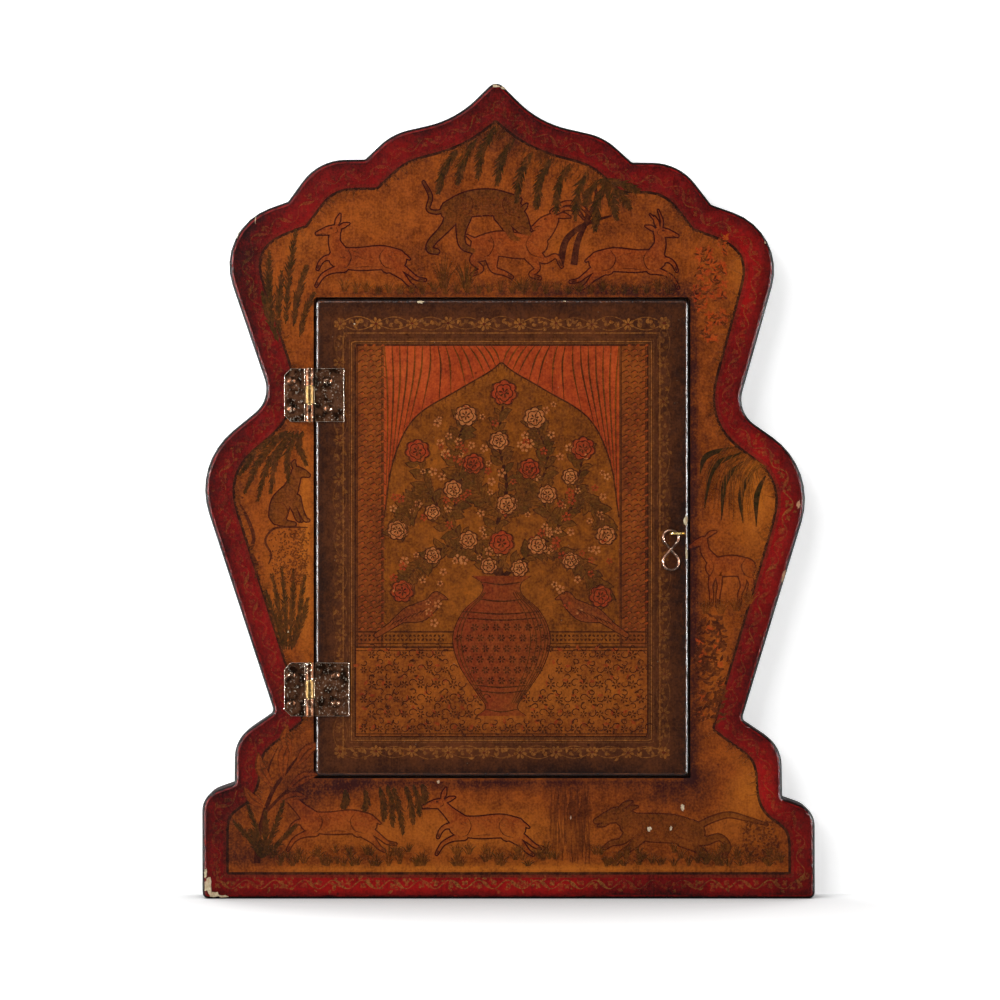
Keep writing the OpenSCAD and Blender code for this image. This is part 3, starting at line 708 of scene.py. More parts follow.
def scroll(film, rail, pitch, swing, width, load):
    """A waving vine along a rail: heavy falling strokes, light rising ones and a bud in each bend."""
    count = max(2, round(rail.length / pitch))
    pitch = rail.length / count
    for i in range(2 * count):
        fall = 1 if i % 2 == 0 else -1
        heavy = 2.2 if fall > 0 else 0.4
        stroke = []
        for t in np.linspace(-0.08, 1.08, 8):
            wide = width * (0.7 + heavy * math.sin(math.pi * min(1, max(0, t))) ** 3)
            stroke.append((*rail.at((i + t) * pitch / 2, swing * fall * math.cos(math.pi * t)), wide))
        amount = load(rail.at(i * pitch / 2))
        brush(film, stroke, amount * dice.uniform(0.6, 1.0), steps=16)
        x, z = rail.at((i + 0.05) * pitch / 2, -0.35 * swing * fall)
        for turn in range(4):
            leaf(film, x, z, turn * 1.6 + dice.uniform(0, 1), 1.3, 0.9, amount * dice.uniform(0.4, 0.8))
    for i in range(9 * count):
        x, z = rail.at(dice.uniform(0, rail.length), dice.uniform(-1.4, 1.4) * swing)
        leaf(film, x, z, dice.uniform(0, 6.3), dice.uniform(0.9, 2.4), dice.uniform(0.5, 1.2),
             load((x, z)) * dice.uniform(0.25, 0.85))


GOLD_SPOTS = [(0, 4, 120, 8, 0.9), (56, 3, 19, 8, -0.8), (112, 150, 16, 70, 0.3), (105, 235, 14, 40, 0.15)]
GOLD_ANYWHERE = 0.2
GOLD_UNEVEN = 0.14


def gold_left(place):
    """How much of the gold is left at a place on the border."""
    left = GOLD_ANYWHERE + spots_at(np.array([place]), GOLD_SPOTS)[0]
    return float(np.clip(left + dice.uniform(-GOLD_UNEVEN, GOLD_UNEVEN), 0.1, 0.9))


GOLD = ("#4C3A18", "#A47A36")
OLIVE_BROWN = ("#2E1A0C", "#5E4020")
SCROLL_INSET = 4.1
GUARD_INSET = BORDER_WIDTH - 0.95
gold = Film("gold_scroll", 2)
middle = inset(outline, SCROLL_INSET)
border_rail = Rail(np.vstack([middle, middle[:1]]))
scroll(gold, border_rail, pitch=11.4, swing=1.7, width=0.5, load=gold_left)
dry_on_case(gold, lacquer("thin_gold_on_red", RED, GOLD, cover=0.95, wear=0.5))
guard = Film("border_guard", 1)
ruled(guard, inset(outline, GUARD_INSET), width=1.2)
guard.load = [gold_left(place) for place in guard.points]
dry_on_case(guard, lacquer("olive_guard_line", RED, OLIVE_BROWN, cover=0.9, wear=0.4))

# %% [markdown]
# ## Beasts of the frieze
# A hunt frieze runs round the field, as on many such cases: gazelles, an ibex, a panther and a fox. Each
# beast is a handful of brush marks in its own millimetres, facing left: trunk, neck, head, ears, limbs and
# tail. The marks are drawn three times: a little wide in ink, then at size in a wash that is fuller along
# the back, then fine lines, hooves and hair inside.

# %% Marks of the deer
GAZELLE = [
    [(14, 0.4, 9), (7, 1.2, 10.2), (-3, 0.6, 9.6), (-11.6, 1.2, 8.6)],
    [(-11, 2.6, 7.6), (-13.4, 8, 5), (-13.2, 12.6, 4.2)],
    [(-12.8, 13.6, 4.3), (-16.6, 13.2, 3.3), (-21.2, 12, 1.1)],
    [(-12.8, 15.4, 0.8), (-11.9, 18, 1.8), (-11, 20.6, 0.3)],
    [(-11.8, 14.2, 0.8), (-9.4, 15.6, 1.7), (-7, 16.4, 0.3)],
    [(-13.4, 1.2, 3.2), (-17.2, 1, 1.7), (-19.6, -0.8, 1.3), (-21, -3.8, 0.9)],
    [(-9.4, -3.2, 3.8), (-14.6, -4.6, 1.9), (-18.4, -6.6, 1.4), (-20.4, -9.2, 1.1), (-21.6, -11.4, 0.8)],
    [(10.6, -2, 7), (16.4, -3.2, 2.8), (20, -5.6, 1.6), (23.2, -8, 1.2), (27, -8.8, 0.8)],
    [(12, -2.6, 5.6), (17, -7.2, 2.3), (19.6, -10.2, 1.4), (22, -11.8, 0.8)],
    [(14.4, 2.6, 2), (17.4, 2, 1.7), (20, 0.6, 0.4)],
]
HORNS = [
    [(-14, 15.4, 0.9), (-14.2, 19, 0.8), (-12.6, 23.6, 0.2)],
    [(-13.2, 15.4, 0.9), (-11.6, 18.8, 0.8), (-9, 21.6, 0.2)],
]
IBEX = [
    [(-11, 0.5, 8), (-4, 1.6, 9.4), (5, 0.6, 9.4), (11, 1.5, 8)],
    [(10, 2.5, 7), (14, 6, 5.4), (16.4, 9.4, 4.6)],
    [(16.8, 10.8, 4.8), (13.4, 9.8, 3.8), (10, 7.8, 1.9)],
    [(18.6, 12.2, 0.8), (21.4, 12.6, 1.8), (24, 12, 0.3)],
    [(17, 14, 1.5), (22, 17.4, 1.3), (27.6, 16.6, 1.1), (32, 12.6, 0.3)],
    [(17.6, 13.4, 1.2), (22.4, 15.4, 1.1), (26.6, 14.4, 0.8), (29.4, 11.4, 0.3)],
    [(10, -2, 4.4), (14, -5, 2.2), (18.4, -3.4, 1.4), (20.6, -7.4, 0.9)],
    [(8, -3, 4.4), (11, -8, 2), (8.6, -10.6, 1.3), (12, -12, 0.9)],
    [(-10, -2, 6), (-14, -5, 2.6), (-11, -8.4, 1.5), (-14.6, -10.6, 0.9)],
    [(-7, -3, 5.4), (-6, -8.4, 2.4), (-2, -10, 1.4), (1, -11.6, 0.9)],
    [(-14, 3, 1.5), (-16.6, 4.8, 0.4)],
]
STANDING = [
    [(9, 1, 8), (2, 1.8, 9), (-5.4, 1, 8.2)],
    [(-5.6, 3, 5.4), (-9.6, 8, 3.8), (-10.6, 12, 3.2)],
    [(-10.8, 13.2, 3.6), (-13.8, 12, 2.8), (-16.4, 10.4, 1.5)],
    [(-9.8, 14.4, 0.6), (-7.4, 16.6, 1.5), (-5, 17.4, 0.3)],
    [(-6, -1, 3.6), (-7.4, -7, 1.6), (-7, -11, 1.3), (-7.2, -16, 0.9)],
    [(-4, -1, 3.4), (-3.4, -7, 1.6), (-4, -11, 1.3), (-4.4, -16.4, 0.9)],
    [(9, -1, 4.8), (11, -6, 2), (9.8, -11, 1.3), (9.6, -16, 0.9)],
    [(7, -1, 4.6), (7.4, -7, 2), (6, -11, 1.3), (5.6, -16.4, 0.9)],
]
print("deer have", len(GAZELLE), len(IBEX), "and", len(STANDING), "marks")

# %% Marks of the hunters
PANTHER = [
    [(-15.6, -1.5, 8.6), (-8, 1.2, 10.6), (1, 2, 11), (9.6, 0.6, 9.8)],
    [(10.4, -1.6, 8), (14, -5.2, 6.8), (16.4, -9, 4.4)],
    [(-14, -2.5, 7.4), (-18.1, -9, 3.8), (-24, -15.4, 2.8), (-24.6, -18.4, 2.4), (-21.6, -19.3, 1.8)],
    [(-10, -3.4, 6.6), (-11.3, -11, 3.4), (-10.4, -16.6, 2.6), (-6, -19, 2)],
    [(6, -3.6, 6), (9, -9.4, 3.4), (11, -13, 2.6), (13.6, -14, 1.8)],
    [(10, -4, 5.4), (14.6, -9.6, 3), (18, -11.4, 2.2)],
    [(-17, 0.2, 1.8), (-21, -2.2, 1.2), (-25.4, -1, 1.1), (-24.4, 4.6, 1.1), (-27.4, 10.8, 0.7)],
    [(12.4, 0.8, 1.8), (13.8, 2.4, 1.4), (14.6, 3.4, 0.4)],
    [(15, -1.4, 1.8), (16.4, 0.2, 1.5), (17.2, 1.2, 0.4)],
]
FOX = [
    [(15, -1, 9.6), (6, 0.6, 11.4), (-4, 1.2, 11.2), (-11, 2.4, 9)],
    [(-11, 3.6, 7.8), (-16, 6.2, 6.6), (-20, 5.6, 4.8), (-25.6, 3.8, 1.7)],
    [(-15.4, 8.6, 2), (-13, 11, 1.7), (-10.6, 12, 0.3)],
    [(-13.4, 7.6, 2), (-10.6, 9.4, 1.6), (-8.2, 9.8, 0.3)],
    [(-20.6, 3.6, 1.6), (-22.4, 2.4, 1.2), (-24.6, 1.8, 0.4)],
    [(-11.4, -1.2, 4.6), (-15, -4.6, 2.4), (-19, -5.4, 1.8), (-22, -7.4, 1.1)],
    [(-7, -3, 4.4), (-11.4, -7.4, 2.3), (-14.6, -9.4, 1.7), (-17, -11.6, 1.1)],
    [(15, -2.4, 7), (20, -4.4, 3.4), (26, -3, 2.3), (29.6, -6.6, 1.7), (28, -11, 1.1)],
    [(11, -4, 6), (16.6, -7.6, 2.8), (19.6, -9.4, 1.9), (20.6, -12.6, 1.1)],
    [(17.6, 2, 2.2), (23, 4.6, 2.1), (30, 6.4, 1.9), (38, 4.6, 1.3), (46, 2.4, 0.3)],
]
SITTER = [
    [(-1.5, -3.4, 7), (-0.2, 1.5, 7.4), (3.2, 6, 6), (4.6, 9, 4.6)],
    [(4.8, 9.4, 4.4), (5.6, 12, 4), (6.4, 13.4, 4.2)],
    [(6.2, 13.6, 4.2), (8.6, 13.2, 2.8), (10.6, 12.4, 1.3)],
    [(5.2, 15.4, 1.1), (4.8, 17, 1.3), (5.2, 18.2, 0.3)],
    [(3.8, 2.4, 3.2), (5.4, -2, 1.8), (6.6, -5.2, 1.3), (8, -5.8, 0.8)],
    [(6, 3, 3), (7.6, -1.6, 1.7), (9.4, -5.2, 1.3), (10.6, -5.7, 0.8)],
    [(-1.5, -5, 5), (1.5, -6.8, 2.4), (5, -7.2, 1.2)],
]
SITTER_HAUNCH = [(-4, 1.4, 0.15), (0.4, 1.2, 0.45), (2.4, -2.4, 0.45), (0.6, -6, 0.2)]
SITTER_EYE = [(7.2, 14.2, 0.2), (7.7, 14.4, 0.7), (8.2, 14.2, 0.2)]
print("hunters have", len(PANTHER), len(FOX), "and", len(SITTER), "marks")

# %% Draw the beasts
INK_RIM = 0.58
ink = Film("frieze_ink", 1)
deer_wash = Film("deer_wash", 2)
hunter_wash = Film("hunter_wash", 3)
fine_ink = Film("frieze_fine_ink", 4)


def beast(marks, place, size, wash, flip=1, load=1.0, lines=(), hairs=0, hair_low=-3.4):
    """One beast at a place: inked rim, wash, inner lines, hooves and hair."""
    def put(points, scale=size):
        return [(place[0] + flip * size * a, place[1] + size * b, scale * w) for a, b, w in points]

    for mark in marks:
        placed = put(mark)
        steps = 6 * len(mark)
        brush(ink, placed, load, steps=steps, swell=INK_RIM, rounded=True)
        upper, lower = 0.95 * load, load * (0.6 if wash is hunter_wash else 0.4)  # fuller along the back
        sides = (upper, lower) if placed[-1][0] > placed[0][0] else (lower, upper)
        brush(wash, placed, sides, steps=steps, swell=0.0, rounded=True)
        if len(mark) > 3 and mark[-1][2] < 1.2:
            tip = smooth(placed, 12)[-3:]
            brush(fine_ink, tip * (1, 1, 0.8), 0.9 * load, steps=5)
    for mark in lines:
        brush(fine_ink, put(mark, 1), 0.9 * load, steps=12)
    for i in range(hairs):
        a, b = dice.uniform(-12, 14), dice.uniform(hair_low, 4.6)
        hair = [(a, b, 0.1), (a + 0.9, b - 0.3, 0.34), (a + 1.9, b - 0.9, 0.1)]
        brush(fine_ink, put(hair, 1), 0.55 * load, steps=4)


SHOULDER = [(-7.6, 5.2, 0.15), (-6, 1.4, 0.45), (-7.6, -2.6, 0.4), (-10, -3.6, 0.15)]
HAUNCH = [(9, 5.6, 0.15), (6.6, 1.6, 0.45), (8.6, -2.6, 0.4), (13, -4, 0.15)]
BELLY = [(-5, -3.4, 0.1), (0, -2.8, 0.3), (5, -3, 0.1)]
EYE = [(-15.6, 14.1, 0.2), (-15, 14.4, 0.8), (-14.3, 14.2, 0.2)]
MOUTH = [(-21.4, 11.5, 0.15), (-19.6, 11.7, 0.35), (-18.2, 12, 0.1)]
CHEEK = [(-13.8, 12, 0.1), (-12.2, 13, 0.35), (-12.8, 15, 0.1)]
TRUNK_LINES = (SHOULDER, HAUNCH, BELLY)
DEER_LINES = (*TRUNK_LINES, EYE, MOUTH, CHEEK)
IBEX_EYE = [(13.6, 11, 0.2), (14.2, 11.3, 0.8), (14.9, 11.1, 0.2)]
PANTHER_EYE = [(13, -4.2, 0.2), (13.6, -4.4, 0.8), (14.2, -4.8, 0.2)]
PANTHER_JAW = [(17.6, -9.4, 0.2), (15.6, -8.6, 0.45), (13.6, -8.8, 0.15)]
IBEX_JAW = [(9.6, 7.6, 0.2), (11.4, 8.4, 0.45), (13, 8.4, 0.15)]
FOX_EYE = [(-18.4, 6.8, 0.2), (-17.9, 7, 0.8), (-17.3, 6.8, 0.2)]
HEAD_MARKS = slice(2, 5)
CRANE = (-6.4, -2.2)


def reached(marks):
    """The marks of a head moved to the end of a craned neck."""
    return [[(a + CRANE[0], b + CRANE[1], w) for a, b, w in mark] for mark in marks]


craned = list(GAZELLE)
craned[1] = [(-11, 2.6, 7.6), (-15.8, 7.2, 5), (-19.2, 10.6, 4.2)]
craned[HEAD_MARKS] = reached(GAZELLE[HEAD_MARKS])
craned_lines = reached((EYE, MOUTH, CHEEK))
headless = craned[:2] + craned[5:]
deer = {"wash": deer_wash, "hair_low": 1.4}
hunter = {"wash": hunter_wash}
panther_lines = (SHOULDER, HAUNCH, PANTHER_EYE, PANTHER_JAW)
beast(GAZELLE, (-54, 251), 0.88, lines=DEER_LINES, hairs=16, **deer)
beast(PANTHER, (-5.9, 272), 0.91, lines=panther_lines, hairs=110, **hunter)
beast(IBEX, (2.8, 256), 1.0, load=0.9, lines=(SHOULDER, HAUNCH, IBEX_EYE, IBEX_JAW), hairs=10, **deer)
beast(GAZELLE + HORNS, (50.4, 250.2), 0.87, flip=-1, lines=DEER_LINES, hairs=16, **deer)
beast(headless, (-65.4, 29.2), 0.87, load=0.85, lines=TRUNK_LINES, hairs=12, **deer)
beast(craned, (-6.9, 27.6), 0.87, lines=(*TRUNK_LINES, *craned_lines), hairs=16, **deer)
beast(FOX, (61, 27), 0.94, load=0.8, lines=(SHOULDER, HAUNCH, FOX_EYE), hairs=140, **hunter)
beast(SITTER, (-86.6, 154.4), 0.98, load=0.95, lines=(SITTER_HAUNCH, SITTER_EYE), **hunter)
beast(STANDING, (88.4, 129.4), 0.86, load=0.8, lines=(SHOULDER, HAUNCH), **deer)
print("beasts drawn with", len(ink.faces), "ink faces")

# %% [markdown]
# ## Plants of the frieze
# Willow fronds droop from the top of each bay, feathery branches and grasses stand along its foot and
# red-leaved shrubs fill the narrow ends. All are many short flicks of a pointed brush, set by a seeded draw
# so that each run is the same.

# %% Brush flicks
green = Film("willow_fronds", 5)
grass = Film("meadow_grass", 5.6)
trunks = Film("tree_trunks", 1)
red_leaves = Film("red_leaves", 2)
dark_leaves = Film("dark_leaves", 5)
FROND_STEPS = 30


def frond(start, end, sag, width, load=0.95):
    """A drooping frond: a stem with fine flicks down both sides, widest below its middle."""
    (x0, z0), (x1, z1) = start, end
    stem = smooth([(x0, z0), ((x0 + x1) / 2 + sag, (z0 + z1) / 2 + abs(sag) * 0.4), (x1, z1)], FROND_STEPS)
    brush(green, [(x, z, 0.45) for x, z in stem[::4]], load, steps=12)
    way = np.gradient(stem, axis=0)
    for i in range(1, FROND_STEPS):
        share = i / FROND_STEPS
        reach = width * (0.4 + math.sin(math.pi * min(1, share * 0.9 + 0.1)) * 0.9) * dice.uniform(0.7, 1.2)
        heading = math.atan2(way[i, 1], way[i, 0])
        for turn in (-1, 1):
            angle = heading + turn * dice.uniform(0.25, 0.65)
            x, z = stem[i] + (dice.uniform(-0.2, 0.2), dice.uniform(-0.2, 0.2))
            tip = (x + reach * math.cos(angle), z + reach * math.sin(angle), 0.08)
            brush(green, [(x, z, 0.6), ((x + tip[0]) / 2, (z + tip[1]) / 2, 0.78), tip],
                  load * dice.uniform(0.75, 1), steps=4)


def tuft(x, z, high, spread, count, load=0.7):
    """A fan of grass blades that lean outwards like the ribs of a shell."""
    for i in range(count):
        lean = 2 * (i + dice.random()) / count - 1
        tall = high * (1 - 0.35 * lean * lean) * dice.uniform(0.85, 1.1)
        brush(grass, [(x + lean * spread * 0.2, z, 0.34), (x + lean * spread * 0.5, z + tall * 0.6, 0.44),
                      (x + lean * spread, z + tall, 0.08)], load * dice.uniform(0.6, 1), steps=5)


def shrub(x_range, z_range, count):
    """Clumps of red leaves set round a point like stars, with dark flicks between them."""
    for i in range(count):
        x, z = dice.uniform(*x_range), dice.uniform(*z_range)
        spin = dice.uniform(0, 6.3)
        for turn in range(4):
            leaf(red_leaves, x, z, spin + turn * 1.55, dice.uniform(1.4, 2.4), dice.uniform(0.8, 1.2),
                 dice.uniform(0.45, 0.95))
        for turn in range(2):
            leaf(dark_leaves, x + dice.uniform(-1.6, 1.6), z + dice.uniform(-1.6, 1.6), dice.uniform(2, 4.6),
                 dice.uniform(1.6, 2.8), 0.7, dice.uniform(0.5, 0.95))


MOSS_FLICKS = 520
MOSS_FOOT = 40
edge_rail = Rail(np.vstack([field_edge, field_edge[:1]]))
for i in range(MOSS_FLICKS):
    run = dice.uniform(0, edge_rail.length)
    x, z = edge_rail.at(run, 0.3)
    tip = edge_rail.at(run + dice.uniform(-1.6, 1.6), dice.uniform(1.6, 4.4))
    if z > MOSS_FOOT:
        brush(green, [(x, z, 0.6), ((x + tip[0]) / 2, (z + tip[1]) / 2, 0.55), (*tip, 0.06)],
              dice.uniform(0.15, 0.5), steps=4)

# %% [markdown]
# ## Bays of the frieze
# The frieze is painted bay by bay: the crest with its willow and palm, the two narrow bays beside the door
# and the long bay of the foot. A plant could be scattered over the whole field, but a painter places each
# one, so they are written as places in millimetres across and up the front, in the CAD frame.


# %% Top bay
def under_edge(x):
    """Height of the field's upper edge at x."""
    near = np.abs(field_edge[:, 0] - x) < 1.5
    return field_edge[near, 1].max()


WILLOW_START, WILLOW_STEP = -17, 7.3
for i in range(9):
    x = WILLOW_START + WILLOW_STEP * i
    top = under_edge(x)
    frond((x, top - 2), (x - 8 + 0.4 * i, top - 19 - dice.uniform(0, 4)), sag=-1.6, width=3.3, load=1.0)
for i in range(170):
    x = dice.uniform(-24, 44)
    leaf(green, x, under_edge(x) - dice.uniform(0.6, 7), dice.uniform(3.9, 4.6), dice.uniform(2.6, 5), 0.5,
         dice.uniform(0.25, 0.65))
PALM_STEMS = (
    ((28.2, 249.2, 2.8), (29.7, 258.1, 2.4), (33, 265.9, 2), (37, 274.8, 1.7), (36.4, 281, 1)),
    ((22.8, 249.2, 3), (24.8, 258.1, 2.6), (28.7, 262.6, 2.2), (34.6, 266, 1.7), (43.2, 268.6, 0.7)),
    ((33, 266, 1.3), (33.2, 272, 1.0), (31, 279, 0.5)),
)
for stem, load, steps in zip(PALM_STEMS, (1.0, 1.0, 0.9), (24, 22, 14)):
    brush(trunks, stem, load, steps=steps)
PALM_CROWN = (38.5, 283)
for end in ((53, 278.5), (50, 272), (45, 267.5), (33, 273)):
    frond(PALM_CROWN, end, sag=1.0 if end[0] > 38 else -1.0, width=3.2)
LEFT_PLUMES = (
    ((-85, 226), (-81, 262.5), 3), ((-90, 226), (-91.5, 254), 2.8), ((-82, 225), (-77, 248.5), 2.8),
    ((-87.5, 222), (-86.6, 246), 2.6), ((-79.6, 221), (-74, 238), 2.4), ((-88, 219), (-94, 238), 2.4),
)
for root, tip, width in LEFT_PLUMES:
    frond(root, tip, sag=-0.8, width=width)
MEADOW_START, MEADOW_STEP, MEADOW_FOOT = -62, 4.4, 237.4
for i in range(30):
    x = MEADOW_START + MEADOW_STEP * i
    tuft(x, MEADOW_FOOT + dice.uniform(0, 1.4), dice.uniform(3.6, 6), 3.2, count=8, load=0.75)
TALL_TUFTS = (
    (-14, 240, 11, 7, 14, 0.9), (-23, 240, 14, 6, 12, 0.8), (8, 239, 6, 8, 14, 0.8), (66, 238, 9, 6, 12, 0.5),
)
for values in TALL_TUFTS:
    tuft(*values)
shrub((76, 88), (220, 260), count=54)
print("top bay", green.marks, "flicks of green and", grass.marks, "blades of grass")

# %% Side bays
for end in ((-77, 171), (-84, 164), (-91, 160), (-96, 157), (-101, 160), (-103, 167)):
    frond((-81 + 0.25 * (end[0] + 88), 184), end, sag=-2.2, width=2.5)
HILL_LINES = (
    ((-76.4, 146, 0.5), (-87.9, 146, 0.9), (-91.8, 143.6, 0.9), (-93, 140, 0.9), (-90.7, 135.5, 0.8),
     (-91.8, 131.5, 0.4)),
    ((-103.5, 156, 0.5), (-100.4, 150.4, 1.2), (-97.6, 142.4, 1.5), (-98.7, 136.7, 1.3), (-96.4, 131, 1.6),
     (-97, 126, 0.5)),
)
for line in HILL_LINES:
    brush(trunks, line, 0.9, steps=24)
for i in range(460):
    x, z = dice.triangular(-92, -76, -78), dice.uniform(124, 145.4)
    leaf(dark_leaves, x, z, dice.uniform(0, 6.3), 0.9, 0.6, 0.75)
for tip in ((-93, 121), (-90.4, 127), (-86.6, 130), (-82, 129), (-77.6, 127), (-76.4, 118), (-90, 113)):
    frond((-84.2 + 0.2 * (tip[0] + 84), 98), tip, sag=0.5, width=2.2)
DROOPING_LEAVES = (
    ((92.9, 177.9), (80.7, 174.3), (77.7, 167)), ((94.1, 175.5), (83.1, 169.4), (79.5, 153.6)),
    ((96.5, 173.1), (88, 164.6), (86.2, 148.8)), ((100.2, 170.7), (94.1, 159.7), (94.7, 147.6)),
    ((103.8, 167), (100.2, 158.5), (99.9, 146.3)),
)
for root, bend, tip in DROOPING_LEAVES:
    brush(green, [(*root, 0.5), (*bend, 2.3), (*tip, 0.2)], 1.0, steps=18)
THIN_BLADES = 56
for i in range(THIN_BLADES):
    share = i / (THIN_BLADES - 1)
    root = (89 + 15 * share, 179 - 9 * share)
    tip = (77 + 26 * share + dice.uniform(-2, 2), dice.uniform(148, 168))
    bend = ((root[0] + tip[0]) / 2 - 2.5, (root[1] + tip[1]) / 2 + 2)
    brush(green, [(*root, 0.25), (*bend, 0.4), (*tip, 0.06)], dice.uniform(0.3, 0.7), steps=8)
for i in range(190):
    x, z, angle = dice.uniform(77, 89), dice.uniform(70, 112), dice.uniform(2.4, 4.6)
    leaf(dark_leaves, x, z, angle, dice.uniform(2.2, 3.4), 1.0, dice.uniform(0.7, 1.0))
shrub((77, 86), (66, 108), count=14)
for x, z in ((80, 112), (86, 112), (92, 113), (97, 116)):
    tuft(x, z, 6, 4.4, count=10, load=0.55)
print("side bays", green.marks, "flicks of green and", grass.marks, "blades of grass")

# %% Bottom bay
LOW_TREE = ((-96.2, 14, 2.6), (-95.6, 25, 2.2), (-90.9, 40.7, 1.6), (-84.9, 49.7, 1.2), (-76.7, 60.3, 0.5))
LOW_TWIGS = (((-90, 42, 1.3), (-92, 50, 0.9), (-88, 60, 0.4)), ((-93, 34, 1.4), (-84, 43, 1), (-77, 46, 0.4)))
brush(trunks, LOW_TREE, 1.0, steps=26)
for twig in LOW_TWIGS:
    brush(trunks, twig, 0.9, steps=14)
BROAD_LEAVES = (
    (-86, 47, 1.3, 17), (-81, 52, 0.7, 14), (-90, 44, 1.9, 15), (-84, 43, 0.4, 14), (-88, 38, 0.1, 12),
    (-93, 36, 2.3, 12), (-83, 56, 1.6, 13),
)
for x, z, angle, length in BROAD_LEAVES:
    leaf(ink, x, z, angle, length, 4.4, 0.55)
    leaf(deer_wash, x, z, angle, length * 0.95, 3.5, 0.4)
    leaf(dark_leaves, x, z, angle, length * 0.9, 0.6, 0.6)
for tip in ((-100, 37), (-86, 38), (-105, 30), (-93, 34), (-81, 29), (-99, 27)):
    frond((-94.5, 16), tip, sag=0.8, width=2.2)
HANGING = (
    ((-48, 44), (-46.5, 31)), ((-42.8, 44), (-39, 26)), ((-38, 44.5), (-35, 30)),
    ((-31.4, 45.2), (-30.7, 38)), ((-61.7, 43), (-62.3, 36)), ((-54, 43), (-54, 35)),
    ((-45, 45), (-43, 29)), ((-35, 45), (-32.4, 33)),
)
for start, end in HANGING:
    frond(start, end, sag=0.6, width=2.3)
BARK_TOP = 45.6
for i in range(130):
    x, foot, high = dice.uniform(19, 34.4), dice.uniform(13.4, 32), dice.uniform(6, 15)
    sway = dice.uniform(-0.8, 0.8)
    top, bend = min(foot + high, BARK_TOP), foot + high / 2
    streak = [(x, top, 0.2), (x + sway, bend, 0.8), (x + 0.5 * sway, foot, 0.2)]
    brush(trunks, streak, dice.uniform(0.3, 0.75), steps=10)
GRASS_CLUMPS = ((-92, -28, 44), (-20, 21, 29), (37, 110, 50))
for start, end, count in GRASS_CLUMPS:
    for i in range(count):
        x, base = dice.uniform(start, end), 12.8 + 5.6 * dice.random() ** 1.6
        tuft(x, base, dice.uniform(2.8, 5), dice.uniform(2.4, 3.8), count=6, load=dice.uniform(0.85, 1.0))
for i in range(150):
    leaf(dark_leaves, dice.uniform(95, 108), dice.uniform(14, 31), dice.uniform(0, 6.3), 1.3, 0.75, 0.7)
print("bottom bay", green.marks, "flicks of green and", grass.marks, "blades of grass")

# %% Dry the frieze
FRIEZE_INK = ("#220503", "#3C0C07")
FRIEZE = (
    (ink, FRIEZE_INK, 1.0, 0.12), (deer_wash, ("#76290C", "#9E4417"), 0.85, 0.4),
    (hunter_wash, ("#3E1C06", "#6C380E"), 1.0, 0.2), (fine_ink, FRIEZE_INK, 0.95, 0.25),
    (green, ("#191103", "#382808"), 1.0, 0.15), (grass, ("#221503", "#443008"), 0.97, 0.25),
    (trunks, ("#240A04", "#44170A"), 1.0, 0.2), (red_leaves, ("#A8300C", "#C24C18"), 0.9, 0.4),
    (dark_leaves, ("#2A0F05", "#481E0B"), 0.97, 0.3),
)
for film, pigment, cover, wear in FRIEZE:
    dry_on_case(film, lacquer(film.name, FIELD, pigment, cover, wear))

# %% [markdown]
# ## Door border
# The door's frame is a dark walnut-brown lacquer with a tan vine: two waves that cross, seven-petalled
# flowers with a red heart where they part and small leaves between. Thin rules edge the picture.

# %% Ground of the door's frame
DOOR_FRONT = -10.0
PICTURE = (-57.8, 63.7, 57.4, 217.8)


def box_loop(x0, z0, x1, z1, step=2.0):
    """A rectangle as a dense loop."""
    return even(np.array([(x0, z0), (x1, z0), (x1, z1), (x0, z1)], float), step)


DOOR_SPOTS = [
    (0, 230, 70, 8, 0.2), (70, 140, 5, 90, 0.4), (-70, 140, 5, 90, 0.25), (10, 51, 60, 5, 0.4),
    (-20, 58, 30, 5, -0.3), (30, 224, 30, 5, -0.25), (-60, 66, 10, 10, -0.2), (62, 224, 12, 9, 0.4),
]
DOOR_EDGE_DARKENING = (0.6, 2.4)


def door_tone(points):
    """Stain and glow on the door's border, and a darkening that is strongest along its edge."""
    amount, reach = DOOR_EDGE_DARKENING
    # darker towards the door's edge
    dirt = amount * np.exp(-gap_to(points, door_rim) / reach)
    return np.clip(spots_at(points, DOOR_SPOTS) + dirt, -1, 1)


def dry_on_door(film, finish, tone):
    """Dries a film on the door's face."""
    dry(film, "door", finish, tone, DOOR_FRONT)


door_rim = even(rims("door_panel", DOOR_FRONT)[0], 1.5)
frame_paint = Film("door_border", 0)
sheet(frame_paint, [door_rim, box_loop(*PICTURE)])
dry_on_door(frame_paint, lacquer("walnut_brown_lacquer", DOOR), door_tone)


# %% Flowers and vine
def flower(film, x, z, size, petals=8, spin=0.0, load=0.9, width=0.34):
    """A flower of separate petals round a centre."""
    for i in range(petals):
        angle = spin + 2 * math.pi * i / petals
        c, s = math.cos(angle) * size, math.sin(angle) * size
        shape = ((0.2, 0.1), (0.65, width), (0.9, width * 0.8), (1, 0.1))
        brush(film, [(x + c * a, z + s * a, size * w) for a, w in shape], load, steps=6)


VINE_INSET = 8.3
x0, z0 = door_rim.min(0) + VINE_INSET
x1, z1 = door_rim.max(0) - VINE_INSET
vine = Film("door_vine", 1)
heart = Film("vine_hearts", 3)
VINE_LEAVES = ((0.28, 1.5, -0.9), (0.36, -1.3, 0.9), (0.66, 1.2, -2.3), (0.74, -1.5, 2.3), (0.5, 0.2, 0.6))


